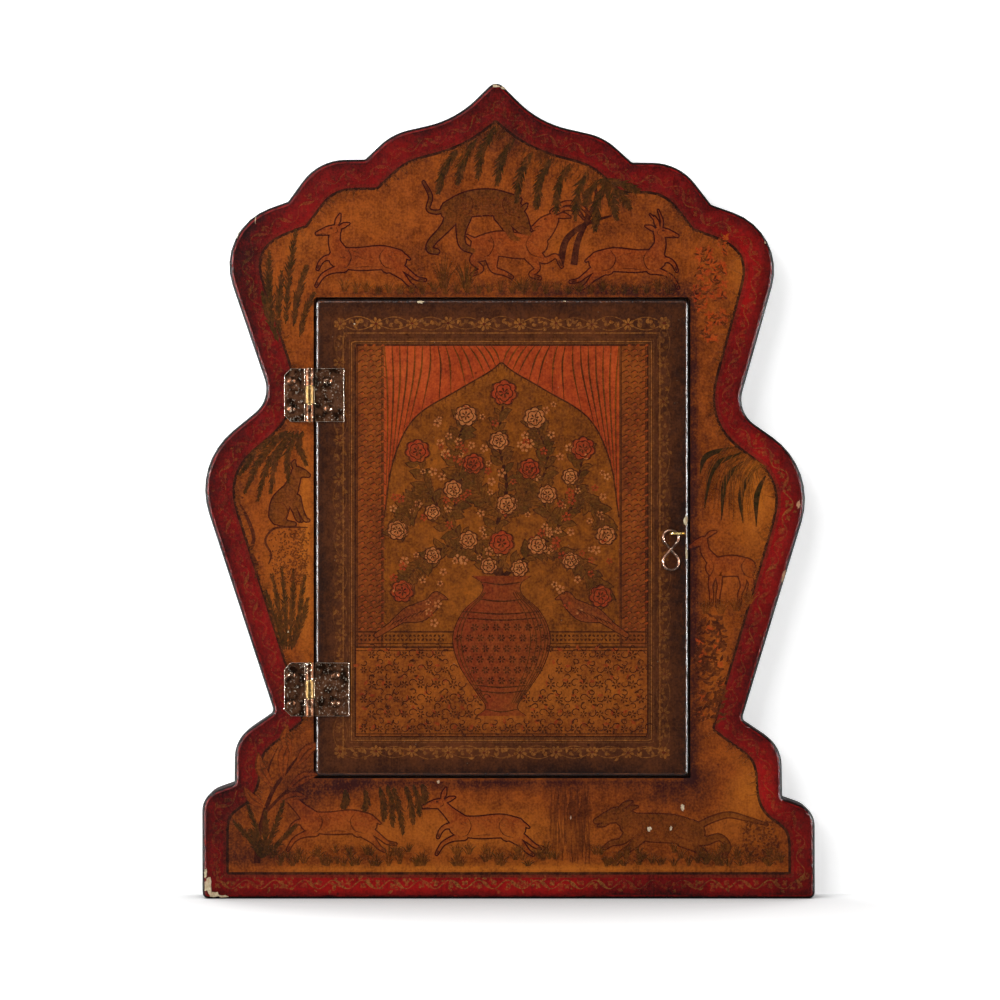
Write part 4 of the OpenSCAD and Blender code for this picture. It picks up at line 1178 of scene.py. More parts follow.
def vine_side(start, end, count, load):
    """Crossing waves, flowers and leaves along one side of the door."""
    rail = Rail(even([start, end], 1.0, False))
    pitch = rail.length / count
    for i in range(2 * count):
        side = 1 if i % 2 else -1
        swing = side * dice.uniform(2.1, 2.9)
        wave = [(*rail.at((i // 2 + t) * pitch, swing * math.sin(math.pi * t)), 0.34)
                for t in np.linspace(0.1, 0.98, 9)]
        brush(vine, wave, load * dice.uniform(0.35, 0.85), steps=16)
    for i in range(count + 1):
        x, z = rail.at(min(i * pitch, rail.length), dice.uniform(-0.4, 0.4))
        fresh = load * dice.uniform(0.7, 1.0)
        flower(vine, x, z, dice.uniform(2.3, 2.7), petals=7, spin=dice.uniform(0, 1), load=fresh, width=0.44)
        brush(heart, [(x - 0.3, z, 0.7), (x + 0.3, z, 0.7)], fresh, steps=4, swell=0.0, rounded=True)
        for share, off, turn in VINE_LEAVES if i < count else ():
            px, pz = rail.at((i + share) * pitch, off + dice.uniform(-0.5, 0.5))
            ax, az = rail.at((i + share) * pitch + 0.5, off) - (px, pz)
            heading = math.atan2(az, ax) + turn + dice.uniform(-0.5, 0.5)
            for spread in (-0.5, 0.4):
                length = dice.uniform(1.4, 2.4)
                leaf(vine, px, pz, heading + spread, length, 0.9, load * dice.uniform(0.5, 0.95))


vine_side((x0, z1), (x1, z1), count=9, load=0.9)
vine_side((x0, z0), (x1, z0), count=9, load=0.8)
vine_side((x0, z0), (x0, z1), count=11, load=0.45)
vine_side((x1, z0), (x1, z1), count=11, load=0.4)
TAN = ("#84430F", "#BC7834")
HEART_RED = ("#4A1208", "#6E2010")
tan_vine = lacquer("tan_vine", DOOR, TAN, cover=0.9, wear=0.55)
dry_on_door(vine, tan_vine, door_tone)
dry_on_door(heart, lacquer("heart_red", DOOR, HEART_RED, cover=0.9, wear=0.4), door_tone)
rules = Film("door_rules", 2)
px0, pz0, px1, pz1 = PICTURE
for gap, width, load in ((0.5, 0.5, 0.2), (1.3, 0.45, 0.75), (2.2, 0.3, 0.3), (4.6, 0.45, 0.6)):
    ruled(rules, box_loop(px0 - gap, pz0 - gap, px1 + gap, pz1 + gap), width=width, load=load)
dry_on_door(rules, tan_vine, door_tone)

# %% [markdown]
# ## Picture on the door
# The door carries a flower-and-nightingale picture, a subject that lacquer painters have always used: a
# spotted urn on a scrolled carpet, a blossoming bush, two birds, looped curtains and lattice piers. The
# grounds differ little, as old varnish has turned them all amber. Each colour is its own film, laid from
# back to front.

# %% Grounds of the picture
AMBER = ("#401A06", "#A45814", "#2E1206", "#AC6018")
ROSE = ("#70200A", "#C24E1C", "#561A0A", "#CE5C26")
CARPET = ("#56220A", "#AC5B18", "#381405", "#B8681E")
PIER = ("#4C1C0A", "#9C4E16", "#341207", "#A85C1E")
PIER_WIDTH = 11.5
CARPET_TOP = 99.0
mid_x = (px0 + px1) / 2
near_x, far_x = px0 + PIER_WIDTH, px1 - PIER_WIDTH
SWAG = [
    (near_x, 150), (near_x + 3.5, 172), (near_x + 12, 189), (mid_x - 17, 200), (mid_x - 5, 207), (mid_x, 211),
]
hem = smooth(SWAG, 40)
hem = np.vstack([hem, np.column_stack([2 * mid_x - hem[::-1, 0], hem[::-1, 1]])[1:]])
niche = np.vstack([hem, [(far_x, CARPET_TOP), (near_x, CARPET_TOP)]])
curtain = np.vstack([hem, [(far_x, pz1), (near_x, pz1)]])
PICTURE_SPOTS = [
    (-45, 108, 14, 14, 0.25), (45, 110, 14, 16, 0.25), (0, 65, 60, 4, 0.25), (-40, 208, 14, 10, -0.5),
    (42, 210, 12, 9, -0.2), (0, 180, 26, 16, 0.2), (0, 140, 22, 22, -0.2), (30, 80, 20, 10, -0.35),
]


def picture_tone(points):
    """Stain and glow over the picture."""
    return np.clip(spots_at(points, PICTURE_SPOTS), -1, 1)


def ground_coat(name, loop, colours):
    """One flat colour area of the picture."""
    film = Film(name, 0)
    sheet(film, [even(np.array(loop), 1.0)])
    dry_on_door(film, lacquer(name, colours), picture_tone)


ground_coat("amber_niche", niche, AMBER)
ground_coat("rose_curtains", curtain, ROSE)
ground_coat("carpet_ground", [(px0, pz0), (px1, pz0), (px1, CARPET_TOP), (px0, CARPET_TOP)], CARPET)
ground_coat("left_pier", [(px0, CARPET_TOP), (near_x, CARPET_TOP), (near_x, pz1), (px0, pz1)], PIER)
ground_coat("right_pier", [(far_x, CARPET_TOP), (px1, CARPET_TOP), (px1, pz1), (far_x, pz1)], PIER)

# %% [markdown]
# ## Urn
# A thrown urn is as wide at each height as its profile says, so on the flat picture it is one very wide
# brush mark whose width follows that profile. Bands, shading down the sides and rows of six-petalled spots
# are inked over it.

# %% Draw the urn
under_ink = Film("picture_ink", 1)
foliage = Film("bush_leaves", 2)
clay = Film("urn_clay", 2)
petals = Film("pale_petals", 3)
red_petals = Film("red_petals", 3)
plumage = Film("bird_plumage", 3)
over_ink = Film("picture_fine_ink", 4)
URN_PROFILE = (
    (72, 19), (75.4, 12), (81, 19), (92, 33), (103, 38), (113, 30), (119.6, 16), (124, 15), (127, 23),
)
urn = [(mid_x, z, wide) for z, wide in URN_PROFILE]
brush(under_ink, urn, 1.0, steps=40, swell=0.4)
brush(clay, urn, (1.0, 0.6), steps=40)
urn_line = smooth(urn, 120)


def urn_width(z):
    """Width of the urn at a height."""
    return np.interp(z, urn_line[:, 1], urn_line[:, 2])


for z in (74.6, 82, 84.2, 110.6, 113, 118, 124.6):
    wide = urn_width(z)
    band = [(mid_x - wide / 2, z, 0.35), (mid_x, z - 1, 0.6), (mid_x + wide / 2, z, 0.35)]
    brush(over_ink, band, 0.9, steps=12)
for share in (-0.92, -0.84, 0.6, 0.72, 0.82, 0.9, 0.96):
    side = [(mid_x + share * wide / 2, z, 0.4) for _, z, wide in urn_line[20:100:8]]
    brush(over_ink, side, 0.75, steps=30)
SPOT_PITCH, SPOT_FOOT = 4.2, 86.6
for j in range(6):
    z = SPOT_FOOT + SPOT_PITCH * j
    half_count = int((urn_width(z) / 2 - 1.6) / SPOT_PITCH)
    for i in range(-half_count, half_count + 1):
        x = mid_x + SPOT_PITCH * i + SPOT_PITCH / 2 * (j % 2)
        flower(over_ink, x, z - 0.8, 1.5, petals=6, spin=i, load=0.9, width=0.5)
print("urn of", len(clay.faces), "faces with", len(over_ink.faces), "ink faces")

# %% [markdown]
# ## Bush and birds
# Eleven branches rise from the urn. Leaves could be scattered, but a painter grows them from the twig, so
# each pair starts on the twig and leans out from it. Blossoms are two rings of overlapping petals, each
# with an inked rim, and the two birds are the same few marks, once as they are and once turned round.

# %% Branches and leaves
BRANCHES = [
    [(0, 127), (-2, 144), (2, 162), (-1, 180), (1, 197)],
    [(-1, 127), (-11, 138), (-21, 148), (-28, 160), (-33, 174)],
    [(1, 127), (12, 136), (23, 146), (29, 159), (32, 175)],
    [(-11, 138), (-23, 138), (-33, 131), (-39, 122)],
    [(12, 136), (24, 135), (33, 129), (39, 120)],
    [(-21, 148), (-16, 161), (-18, 175), (-14, 189)],
    [(23, 146), (16, 159), (18, 174), (13, 188)],
    [(-1, 152), (-9, 160), (-11, 170)],
    [(1, 150), (9, 157), (11, 168)],
    [(-28, 160), (-36, 155), (-41, 146)],
    [(29, 159), (37, 153), (41, 144)],
]
LEAF_WIDTH = 0.42
TWIG_STEPS = 22
for branch in BRANCHES:
    count = len(branch)
    wood = [(mid_x + x, z, 2.0 - 1.4 * i / count) for i, (x, z) in enumerate(branch)]
    brush(under_ink, wood, 1.0, steps=24)
    twig = smooth(branch, TWIG_STEPS)
    for i in range(1, TWIG_STEPS):
        x, z = mid_x + twig[i, 0], twig[i, 1]
        way = twig[i] - twig[i - 1]
        for turn in (-1, 1):
            angle = math.atan2(way[1], way[0]) + turn * dice.uniform(0.5, 1.3)
            size = dice.uniform(3.2, 6.4)
            leaf(under_ink, x, z, angle, size + 0.5, size * LEAF_WIDTH + 0.5, 0.9)
            leaf(foliage, x, z, angle, size, size * LEAF_WIDTH, dice.uniform(0.45, 1.0))
            leaf(over_ink, x, z, angle, size * 0.85, 0.3, 0.7)
print("bush has", len(BRANCHES), "branches and", foliage.marks, "leaves")


# %% Blossoms
def blossom(film, x, z, size):
    """A rounded blossom of overlapping petals, each with an inked rim."""
    for ring, count in ((1.0, 7), (0.5, 5)):
        for i in range(count):
            angle = 2 * math.pi * (i + ring * 1.7) / count
            px, pz = x + size * 0.56 * ring * math.cos(angle), z + size * 0.56 * ring * math.sin(angle)
            petal = [(px - size * 0.1, pz, size * 0.6), (px + size * 0.1, pz, size * 0.6)]
            brush(under_ink, petal, 0.9, steps=4, swell=0.3, rounded=True)
            brush(film, petal, 0.95 - 0.3 * ring * dice.random(), steps=4, swell=0.0, rounded=True)
            rim = [(px + size * 0.34 * math.cos(angle + t), pz + size * 0.34 * math.sin(angle + t), 0.4)
                   for t in (-1.3, -0.65, 0, 0.65, 1.3)]
            brush(over_ink, rim, 0.95, steps=9)
    flower(over_ink, x, z, size * 0.36, petals=6, spin=x, load=0.9, width=0.4)


RED_ROSES = (
    (1, 199, 5.6), (-33, 176, 5.2), (32, 177, 5.2), (-39, 121, 5), (39, 119, 5), (-11, 171, 4.6),
    (11, 169, 4.6), (0, 140, 5.4),
)
PALE_ROSES = (
    (-14, 190, 4.8), (13, 189, 4.8), (-41, 145, 4.4), (41, 143, 4.4), (-1, 180, 4.2), (-19, 161, 4.2),
    (18, 159, 4.2), (-27, 152, 3.6), (2, 155, 4.6), (-13, 141, 4.2), (14, 139, 4.2), (27, 133, 3.8),
    (-27, 135, 3.8), (27, 166, 3.6), (-5, 131, 3.8), (7, 130, 3.8),
)
SMALL_FLOWERS = 150
for x, z, size in RED_ROSES:
    blossom(red_petals, mid_x + x, z, size)
for x, z, size in PALE_ROSES:
    blossom(petals, mid_x + x, z, size)
for i in range(SMALL_FLOWERS):
    x, z = dice.uniform(-43, 43), dice.uniform(108, 196)
    if abs(x) / 46 + max(0, z - 165) / 60 < 0.95 and (abs(x) > 20 or z > 130):
        film = petals if i % 3 else red_petals
        flower(film, mid_x + x, z, dice.uniform(1.1, 1.9), petals=5, spin=x, load=0.85, width=0.6)
        flower(over_ink, mid_x + x, z, 0.6, petals=5, spin=x, load=0.8, width=0.5)
print("blossoms of", petals.marks, "pale and", red_petals.marks, "red petals")

# %% Birds
BIRD = [
    [(5, -1, 4.6), (0, 0.4, 6.4), (-4, 3, 4.8), (-5.6, 5.4, 4)],
    [(-6, 5.8, 3.6), (-8, 5.6, 1.6), (-9.6, 5, 0.3)],
    [(5, -1, 3), (9.6, -4, 2.2), (15.6, -8, 1.4)],
    [(-1, 1.6, 2.6), (4, 0.6, 3.2), (10, -3, 0.6)],
]
BIRD_SIZE = 1.1
for x, z, flip in ((-32, 112.4, -1), (32, 112.4, 1)):
    for mark in BIRD:
        placed = [(mid_x + x + flip * BIRD_SIZE * a, z + BIRD_SIZE * b, BIRD_SIZE * w) for a, b, w in mark]
        brush(under_ink, placed, 1.0, steps=14, swell=0.4, rounded=True)
        brush(plumage, placed, (0.95, 0.6), steps=14, swell=0.0, rounded=True)
    for i in range(7):
        a = -3 + 2 * i
        feather = ((a, 1.8 - 0.8 * i, 0.15), (a + 1.6, 0.9 - 0.8 * i, 0.45), (a + 3, -0.8 - 0.8 * i, 0.1))
        brush(over_ink, [(mid_x + x + flip * p, z + q, w) for p, q, w in feather], 0.9, steps=6)
    flower(over_ink, mid_x + x - flip * 7.6, z + 7.8, 0.7, petals=5, spin=0, load=0.9, width=0.7)
print("two birds of", plumage.marks, "marks")

# %% [markdown]
# ## Carpet, piers and curtains
# Ornament that repeats is drawn by loops: spirals and small flowers on the carpet, a lattice of short
# strokes on the piers, and folds and a fringe on the curtains. A little random turn keeps the repeats from
# looking printed.


# %% Carpet
def spiral(film, x, z, angle, size, turn, load=1.0):
    """A tendril that winds in on itself."""
    steps = np.linspace(0, 4.6, 12)
    reach = size * (1 - 0.17 * steps)
    brush(film, [(x + r * math.cos(angle + turn * t), z + r * math.sin(angle + turn * t), 0.42 - 0.04 * t)
                 for t, r in zip(steps, reach)], load, steps=16)


CARPET_PITCH = 6.4
for i in range(18):
    for j in range(6):
        x = px0 + 3.4 + i * CARPET_PITCH + 3.2 * (j % 2)
        z = pz0 + 3.2 + j * 5.8
        clear_of_urn = urn_width(z) / 2 + 1.6 if z > 69 else 0
        if x > px1 - 2.4 or abs(x - mid_x) < clear_of_urn:
            continue
        turn = 1 if (i + j) % 2 else -1
        flower(over_ink, x, z, dice.uniform(1.3, 1.8), petals=6, spin=i, load=0.85, width=0.42)
        spiral(over_ink, x + 3.1, z + 0.4, dice.uniform(0, 1), size=2.0, turn=turn)
        spiral(over_ink, x + 0.4, z + 2.9, dice.uniform(2, 4), size=1.5, turn=-turn)
        leaf(over_ink, x + 2.2, z - 2.2, dice.uniform(0, 6.3), 2.0, 0.8, 0.8)
        leaf(red_petals, x - 1.8, z + 1.8, dice.uniform(0, 6.3), 2.4, 1.1, 0.6)
BAND = 6.0
CARPET_LINES = (
    (CARPET_TOP, 0.7), (CARPET_TOP - 1.4, 0.35), (CARPET_TOP + BAND, 0.6), (CARPET_TOP + 1.4, 0.35),
    (pz0 + 1.2, 0.4),
)
for z, width in CARPET_LINES:
    for start, end in ((px0, mid_x - 18.6), (mid_x + 18.6, px1)) if z > 90 else ((px0, px1),):
        brush(under_ink, [(start, z, width), ((start + end) / 2, z, width), (end, z, width)], 0.95, steps=30)
for i in range(36):
    x = px0 + 1.8 + i * 3.2
    if abs(x - mid_x) > 21:
        flower(under_ink, x, CARPET_TOP + 3.7, 1.7, petals=4, spin=0.8, load=0.9, width=0.5)
print("carpet drawn, with", over_ink.marks, "fine marks so far")

# %% Lattice piers
BRICK_LONG, BRICK_HIGH = 3.4, 2.1
for left in (px0, far_x):
    for i in range(54):
        z = CARPET_TOP + BAND + 1 + i * BRICK_HIGH
        shift = BRICK_LONG / 2 * (i % 2)
        for k in range(3):
            x = left + 1.2 + k * BRICK_LONG + shift * 0.7
            arch = [(x, z, 0.3), (x + BRICK_LONG / 2, z + 0.9, 0.5), (x + BRICK_LONG * 0.85, z, 0.3)]
            brush(under_ink, arch, 0.85, steps=5)
            leaf(red_petals, x + 1, z - 0.2, 0.3, 1.6, 0.8, 0.55)
    for x in (left + 0.5, left + 1.0, left + PIER_WIDTH - 1.0, left + PIER_WIDTH - 0.5):
        brush(under_ink, [(x, CARPET_TOP, 0.3), (x, 150, 0.4), (x, pz1, 0.3)], 0.9, steps=40)
print("piers drawn, with", under_ink.marks, "ink marks so far")

# %% Curtains
brush(under_ink, [(x, z, 0.6) for x, z in hem[::2]], 0.95, steps=80)
FRINGE_STEP = 2
FOLDS = 15
for x, z in hem[1::FRINGE_STEP]:
    sway = dice.uniform(-0.3, 0.3)
    brush(over_ink, [(x, z, 0.3), (x, z - 0.9, 0.4), (x + sway, z - 2, 0.15)], 0.7, steps=5)
for side in (-1, 1):
    for i in range(FOLDS):
        share = i / (FOLDS - 1)
        end = hem[int(2 + 36 * share)]
        x, z = mid_x + side * (mid_x - end[0]), end[1]
        top = mid_x + side * (46 - 42 * share)
        fold = [(top, pz1 - 0.4, 0.3), ((top * 2 + x) / 3 - side, (2 * pz1 + z) / 3 - 1, 0.7), (x, z, 0.2)]
        brush(over_ink, fold, dice.uniform(0.35, 0.8), steps=12)
ruled(under_ink, box_loop(px0 + 0.2, pz0 + 0.2, px1 - 0.2, pz1 - 0.2), width=0.5, load=1.0)
print("curtains drawn with", FOLDS, "folds a side")

# %% Dry the picture
PICTURE_INK = ("#220D05", "#3C180A")
PICTURE_WEAR = 0.25
PICTURE_FILMS = (
    (under_ink, PICTURE_INK, 1.0), (foliage, ("#3A2208", "#5E3C12"), 0.95),
    (petals, ("#B0582A", "#CC8448"), 0.9), (red_petals, ("#8A2410", "#B03C1C"), 0.9),
    (over_ink, PICTURE_INK, 1.0), (clay, ("#641F0E", "#8E3818"), 0.95),
    (plumage, ("#5A2010", "#8E4018"), 0.95),
)
for film, pigment, cover in PICTURE_FILMS:
    dry_on_door(film, lacquer(film.name, AMBER, pigment, cover, PICTURE_WEAR), picture_tone)

# %% [markdown]
# ## Inside of the door
# Opened, the door shows a plain brown lacquer with ruled lines and a rosette, which keeps the eye on the
# glass.

# %% Rules inside the door
DOOR_BACK = -3.0
inner_rules = Film("door_inner_rules", 1)
bx0, bz0 = door_rim.min(0)
bx1, bz1 = door_rim.max(0)
door_x, door_z = (bx0 + bx1) / 2, (bz0 + bz1) / 2
for gap, width, load in ((7.0, 0.8, 0.8), (9.0, 0.3, 0.6), (22.0, 0.4, 0.6)):
    ruled(inner_rules, box_loop(bx0 + gap, bz0 + gap, bx1 - gap, bz1 - gap), width=width, load=load)
for sx, sz in ((-1, -1), (-1, 1), (1, -1), (1, 1)):
    flower(inner_rules, door_x + sx * 56, door_z + sz * 76, 5, petals=8, spin=0.2, load=0.7)
flower(inner_rules, door_x, door_z, 12, petals=12, spin=0, load=0.7, width=0.28)
flower(inner_rules, door_x, door_z, 6, petals=8, spin=0.3, load=0.7, width=0.34)
dry(inner_rules, "door", tan_vine, depth=DOOR_BACK, facing=1)

# %% [markdown]
# ## Chips and flakes
# Where the case was knocked, the paint has gone down to the cream gesso: at the lower left corner, along
# the door's edges and in small flakes, chalky and without shine. Each chip is a ragged patch, laid over the
# rounded edge with the nearest point of the solid.


# %% Gesso chips
CHIP_POINTS = 13


def chip(film, x, z, wide, high, clean=1.0):
    """A ragged patch round (x, z); clean is how far the gesso is free of old stain."""
    count = CHIP_POINTS
    rim = []
    for i in range(count):
        angle = 2 * math.pi * (i + dice.uniform(-0.3, 0.3)) / count
        reach = dice.uniform(0.42, 1.0)
        rim.append((x + wide / 2 * reach * math.cos(angle), z + high / 2 * reach * math.sin(angle)))
    inner = [((a + x) / 2, (b + z) / 2) for a, b in rim]
    faces = [(i, (i + 1) % count, count + (i + 1) % count, count + i) for i in range(count)]
    faces += [(count + i, count + (i + 1) % count, 2 * count) for i in range(count)]
    film.take(rim + inner + [(x, z)], faces, [clean] * (2 * count + 1), film.marks * GOLDEN % 1 * MARK_LIFT)


chips = Film("gesso_chips", 6)
CASE_CHIPS = (
    (-115.4, 5.4, 4, 8), (-113, 1.8, 6, 3.4), (-116.6, 9.8, 1.8, 5), (-109.6, 0.9, 5, 1.8),
    (-25, 46, 1.8, 1.6), (71, 36, 2.2, 4.2), (58, 27.6, 2, 2.6), (66.4, 27.8, 1.4, 2.2), (27, 32, 0.6, 2),
    (103.6, 258, 0.8, 1.4), (-84, 105, 0.9, 0.9), (-105, 262, 0.5, 5), (-101, 270, 0.5, 3),
    (-97, 267, 0.5, 4), (0.4, 319, 3, 1.4), (-2.4, 319.6, 4.4, 1.8), (1.8, 319.8, 3.6, 1.6),
)
STAINED_CHIPS = ((110.9, 127, 2.6, 6.4), (116.6, 155, 2, 4.4))
STAINED = 0.35
for x, z, wide, high in CASE_CHIPS:
    chip(chips, x, z, wide, high)
for x, z, wide, high in STAINED_CHIPS:
    chip(chips, x, z, wide, high, clean=STAINED)
BARE_GROUND = ("#8A4424", "#C0703E", "#6A3418", "#CC8450")
GESSO = ("#C8B088", "#EBDDBA")
gesso = lacquer("bare_gesso", BARE_GROUND, GESSO, cover=1.0, wear=0.3, rough=(0.6, 0.8))
dry(chips, "case", gesso, wrap="face_board")
door_chips = Film("door_gesso_chips", 5)
DOOR_CHIPS = (
    (-32, 234.6, 3, 1.5), (24.6, 235, 1.2, 0.8), (72.3, 148.4, 2.4, 5), (72.6, 136, 1.4, 8),
    (-58, 226, 0.8, 0.8),
)
for x, z, wide, high in DOOR_CHIPS:
    chip(door_chips, x, z, wide, high)
dry(door_chips, "door", gesso, depth=DOOR_FRONT, wrap="door_panel")

# %% [markdown]
# ## Edges, back and inside of the wood
# The front paint laps a little over the rounded edge. Beyond it the edge is rubbed and darkened by hands,
# and its varnish is thick enough to catch a bright line of light on the front curve and dull on the flanks.
# The back is a plain brown-black lacquer with brush streaks. The object's own normal tells front, edge and
# back apart, so one finish serves the whole board. A wide bevel node eases the small facets of the sawn
# curves. The strips round the glass and the back panel are plain brown lacquer, and the pasteboard behind
# the glass is dull.


# %% Finishes of the wooden solids
RUB_MM = 3.0
BACK_STREAK_MM = (1.1, 30)
PIT_MM = 0.9
PIT_DEPTH_MM = 0.3


def edge_lacquer(name, front, rim, back, rough, gloss=0.3, ease_mm=0.4):
    """Lacquer for a whole board; front, rim and back are its (deep, bright) colours by the way they face."""
    finish, tree = new_material(name)
    spot = add(tree, "TexCoord").outputs
    # before is 1 on faces to the front, and behind is 1 on those to the back
    turned = add(tree, "SeparateXYZ", {0: spot["Normal"]}).outputs["Y"]
    before = add(tree, "MapRange", {0: turned, 1: -0.88, 2: -0.96})
    behind = add(tree, "MapRange", {0: turned, 1: 0.75, 2: 0.95})
    wear = add(tree, "TexNoise", {"Vector": spot["Object"], "Scale": repeats(RUB_MM), "Detail": 5.0,
                                  "Roughness": 0.65})
    patch = add(tree, "MapRange", {0: wear.outputs[0], 1: 0.36, 2: 0.66})
    thin, tall = map(repeats, BACK_STREAK_MM)
    stretched = add(tree, "Mapping", {"Vector": spot["Object"], "Scale": (thin, thin, tall)})
    streak = add(tree, "TexNoise", {"Vector": stretched.outputs[0], "Scale": 1.0, "Detail": 3.0})
    drawn = add(tree, "MapRange", {0: streak.outputs[0], 1: 0.35, 2: 0.7})
    # rubbed patches on rim and front, brush streaks on the back
    colours = []
    for share, (deep, bright) in ((patch, rim), (patch, front), (drawn, back)):
        mixed = add(tree, "Mix", {0: share.outputs[0], 6: srgb(deep), 7: srgb(bright)}, data_type="RGBA")
        colours.append(mixed.outputs[2])
    colour = add(tree, "Mix", {0: before.outputs[0], 6: colours[0], 7: colours[1]}, data_type="RGBA")
    colour = add(tree, "Mix", {0: behind.outputs[0], 6: colour.outputs[2], 7: colours[2]}, data_type="RGBA")
    # smooth where the edge turns to the front, dull on the flanks
    shine = add(tree, "MapRange", {0: turned, 1: -0.1, 2: -0.45, 3: rough[1], 4: rough[0]})
    pits = add(tree, "TexNoise", {"Vector": spot["Object"], "Scale": repeats(PIT_MM), "Detail": 3.0})
    eased = add(tree, "Bevel", {"Radius": ease_mm * MM}, samples=6)
    bump = add(tree, "Bump", {"Strength": 0.9, "Distance": PIT_DEPTH_MM * MM, "Height": pits.outputs[0],
                              "Normal": eased.outputs[0]})
    varnish = add(tree, "BsdfPrincipled", {"Base Color": colour.outputs[2], "Roughness": shine.outputs[0],
                                           "IOR": VARNISH_IOR, "Specular IOR Level": gloss,
                                           "Normal": bump.outputs[0]})
    add(tree, "OutputMaterial", {"Surface": varnish.outputs[0]})
    return finish


def finish_nodes(finish, *names):
    """Puts one finish on CAD nodes."""
    for name in names:
        nodes[name].data.materials.clear()
        nodes[name].data.materials.append(finish)


BOARD_RIM, BOARD_BACK = ("#0E0504", "#2C0C09"), ("#2E140C", "#4A2416")
DOOR_EDGE, DOOR_INSIDE = ("#140805", "#2E150A"), ("#3A1C0E", "#58321A")
SLIP, PASTEBOARD = ("#4A2412", "#7A4822"), ("#7A6046", "#9A8062")
PANEL_RIM, PANEL_BACK = ("#3A1E12", "#5A3420"), ("#3E2014", "#63391F")
board = edge_lacquer("board_edge_lacquer", RED[:2], BOARD_RIM, BOARD_BACK, rough=(0.1, 0.7), gloss=0.12,
                     ease_mm=3.0)
finish_nodes(board, "face_board")
door_edge = edge_lacquer("door_edge_lacquer", DOOR[:2], DOOR_EDGE, DOOR_INSIDE, rough=(0.12, 0.45), gloss=0.4)
finish_nodes(door_edge, "door_panel")
slip = edge_lacquer("slip_lacquer", SLIP, SLIP, SLIP, rough=(0.25, 0.4))
finish_nodes(slip, "slip_left", "slip_right", "slip_top", "slip_bottom")
card = edge_lacquer("pasteboard", PASTEBOARD, PASTEBOARD, PASTEBOARD, rough=(0.8, 0.95))
finish_nodes(card, "mirror_card")
panel = edge_lacquer("back_panel_lacquer", PANEL_RIM, PANEL_RIM, PANEL_BACK, rough=(0.35, 0.55))
finish_nodes(panel, "back_panel")
print("wooden solids finished")

# %% [markdown]
# ## Metal and glass
# The hinges are cast brass gone dark: a purple-brown patina, with bright metal where hands and wear have
# rubbed the edges and the high spots; this rubbed metal is near white, so it also paints glints there. The
# staple and link are drawn brass wire. A bevel node finds the edges, so they catch the light as filed edges
# do. The mirror is silvered glass with grey clouding.


# %% Finishes of metal
PATINA_MM = 3.0
METAL_RELIEF_MM = 0.2
KNUCKLE_REACH = 2.1
RUBBED_GOLD = "#62502E"


def old_metal(name, patina, bright, rubbed, rough, spot_mm=0.8, edge_mm=0.35, worn_x=None):
    """Metal with a clouded patina that is rubbed through at edges, in specks and on the knuckle at worn_x."""
    finish, tree = new_material(name)
    place = add(tree, "TexCoord").outputs["Object"]
    cloud = add(tree, "TexNoise", {"Vector": place, "Scale": repeats(PATINA_MM), "Detail": 4.0})
    cloud = add(tree, "MapRange", {0: cloud.outputs[0], 1: 0.38, 2: 0.62})
    dull = add(tree, "Mix", {0: cloud.outputs[0], 6: srgb(patina[0]), 7: srgb(patina[1])}, data_type="RGBA")
    spots = add(tree, "TexNoise", {"Vector": place, "Scale": repeats(spot_mm), "Detail": 4.0,
                                   "Roughness": 0.6})
    clean = add(tree, "MapRange", {0: spots.outputs[0], 1: 0.66 - rubbed, 2: 0.8 - rubbed})
    # edges are where the bevelled normal leaves the flat one
    eased = add(tree, "Bevel", {"Radius": edge_mm * MM}, samples=6)
    flat = add(tree, "NewGeometry").outputs["Normal"]
    facing = add(tree, "VectorMath", {0: eased.outputs[0], 1: flat}, operation="DOT_PRODUCT")
    edge = add(tree, "MapRange", {0: facing.outputs["Value"], 1: 0.99, 2: 0.86})
    worn = add(tree, "Math", {0: edge.outputs[0], 1: spots.outputs[0]}, operation="MULTIPLY")
    clean = add(tree, "Math", {0: clean.outputs[0], 1: worn.outputs[0]}, operation="MAXIMUM")
    # rubbed metal at edges and specks, pale enough to be painted glints as well as wear
    colour = add(tree, "Mix", {0: clean.outputs[0], 6: dull.outputs[2], 7: srgb(bright)}, data_type="RGBA")
    if worn_x is not None:
        # the middle knuckle, rubbed to golden brass
        across = add(tree, "SeparateXYZ", {0: place}).outputs["X"]
        knuckle = add(tree, "Math", {0: across, 1: worn_x, 2: KNUCKLE_REACH * MM}, operation="COMPARE")
        gilt = add(tree, "Math", {0: knuckle.outputs[0], 1: spots.outputs[0]}, operation="MULTIPLY")
        colour = add(tree, "Mix", {0: gilt.outputs[0], 6: colour.outputs[2], 7: srgb(RUBBED_GOLD)},
                     data_type="RGBA")
    shine = add(tree, "MapRange", {0: clean.outputs[0], 3: rough[1], 4: rough[0]})
    bump = add(tree, "Bump", {"Strength": 0.9, "Distance": METAL_RELIEF_MM * MM, "Height": spots.outputs[0],
                              "Normal": eased.outputs[0]})
    metal = add(tree, "BsdfPrincipled", {"Base Color": colour.outputs[2], "Metallic": 1.0,
                                         "Roughness": shine.outputs[0], "Normal": bump.outputs[0]})
    add(tree, "OutputMaterial", {"Surface": metal.outputs[0]})
    return finish


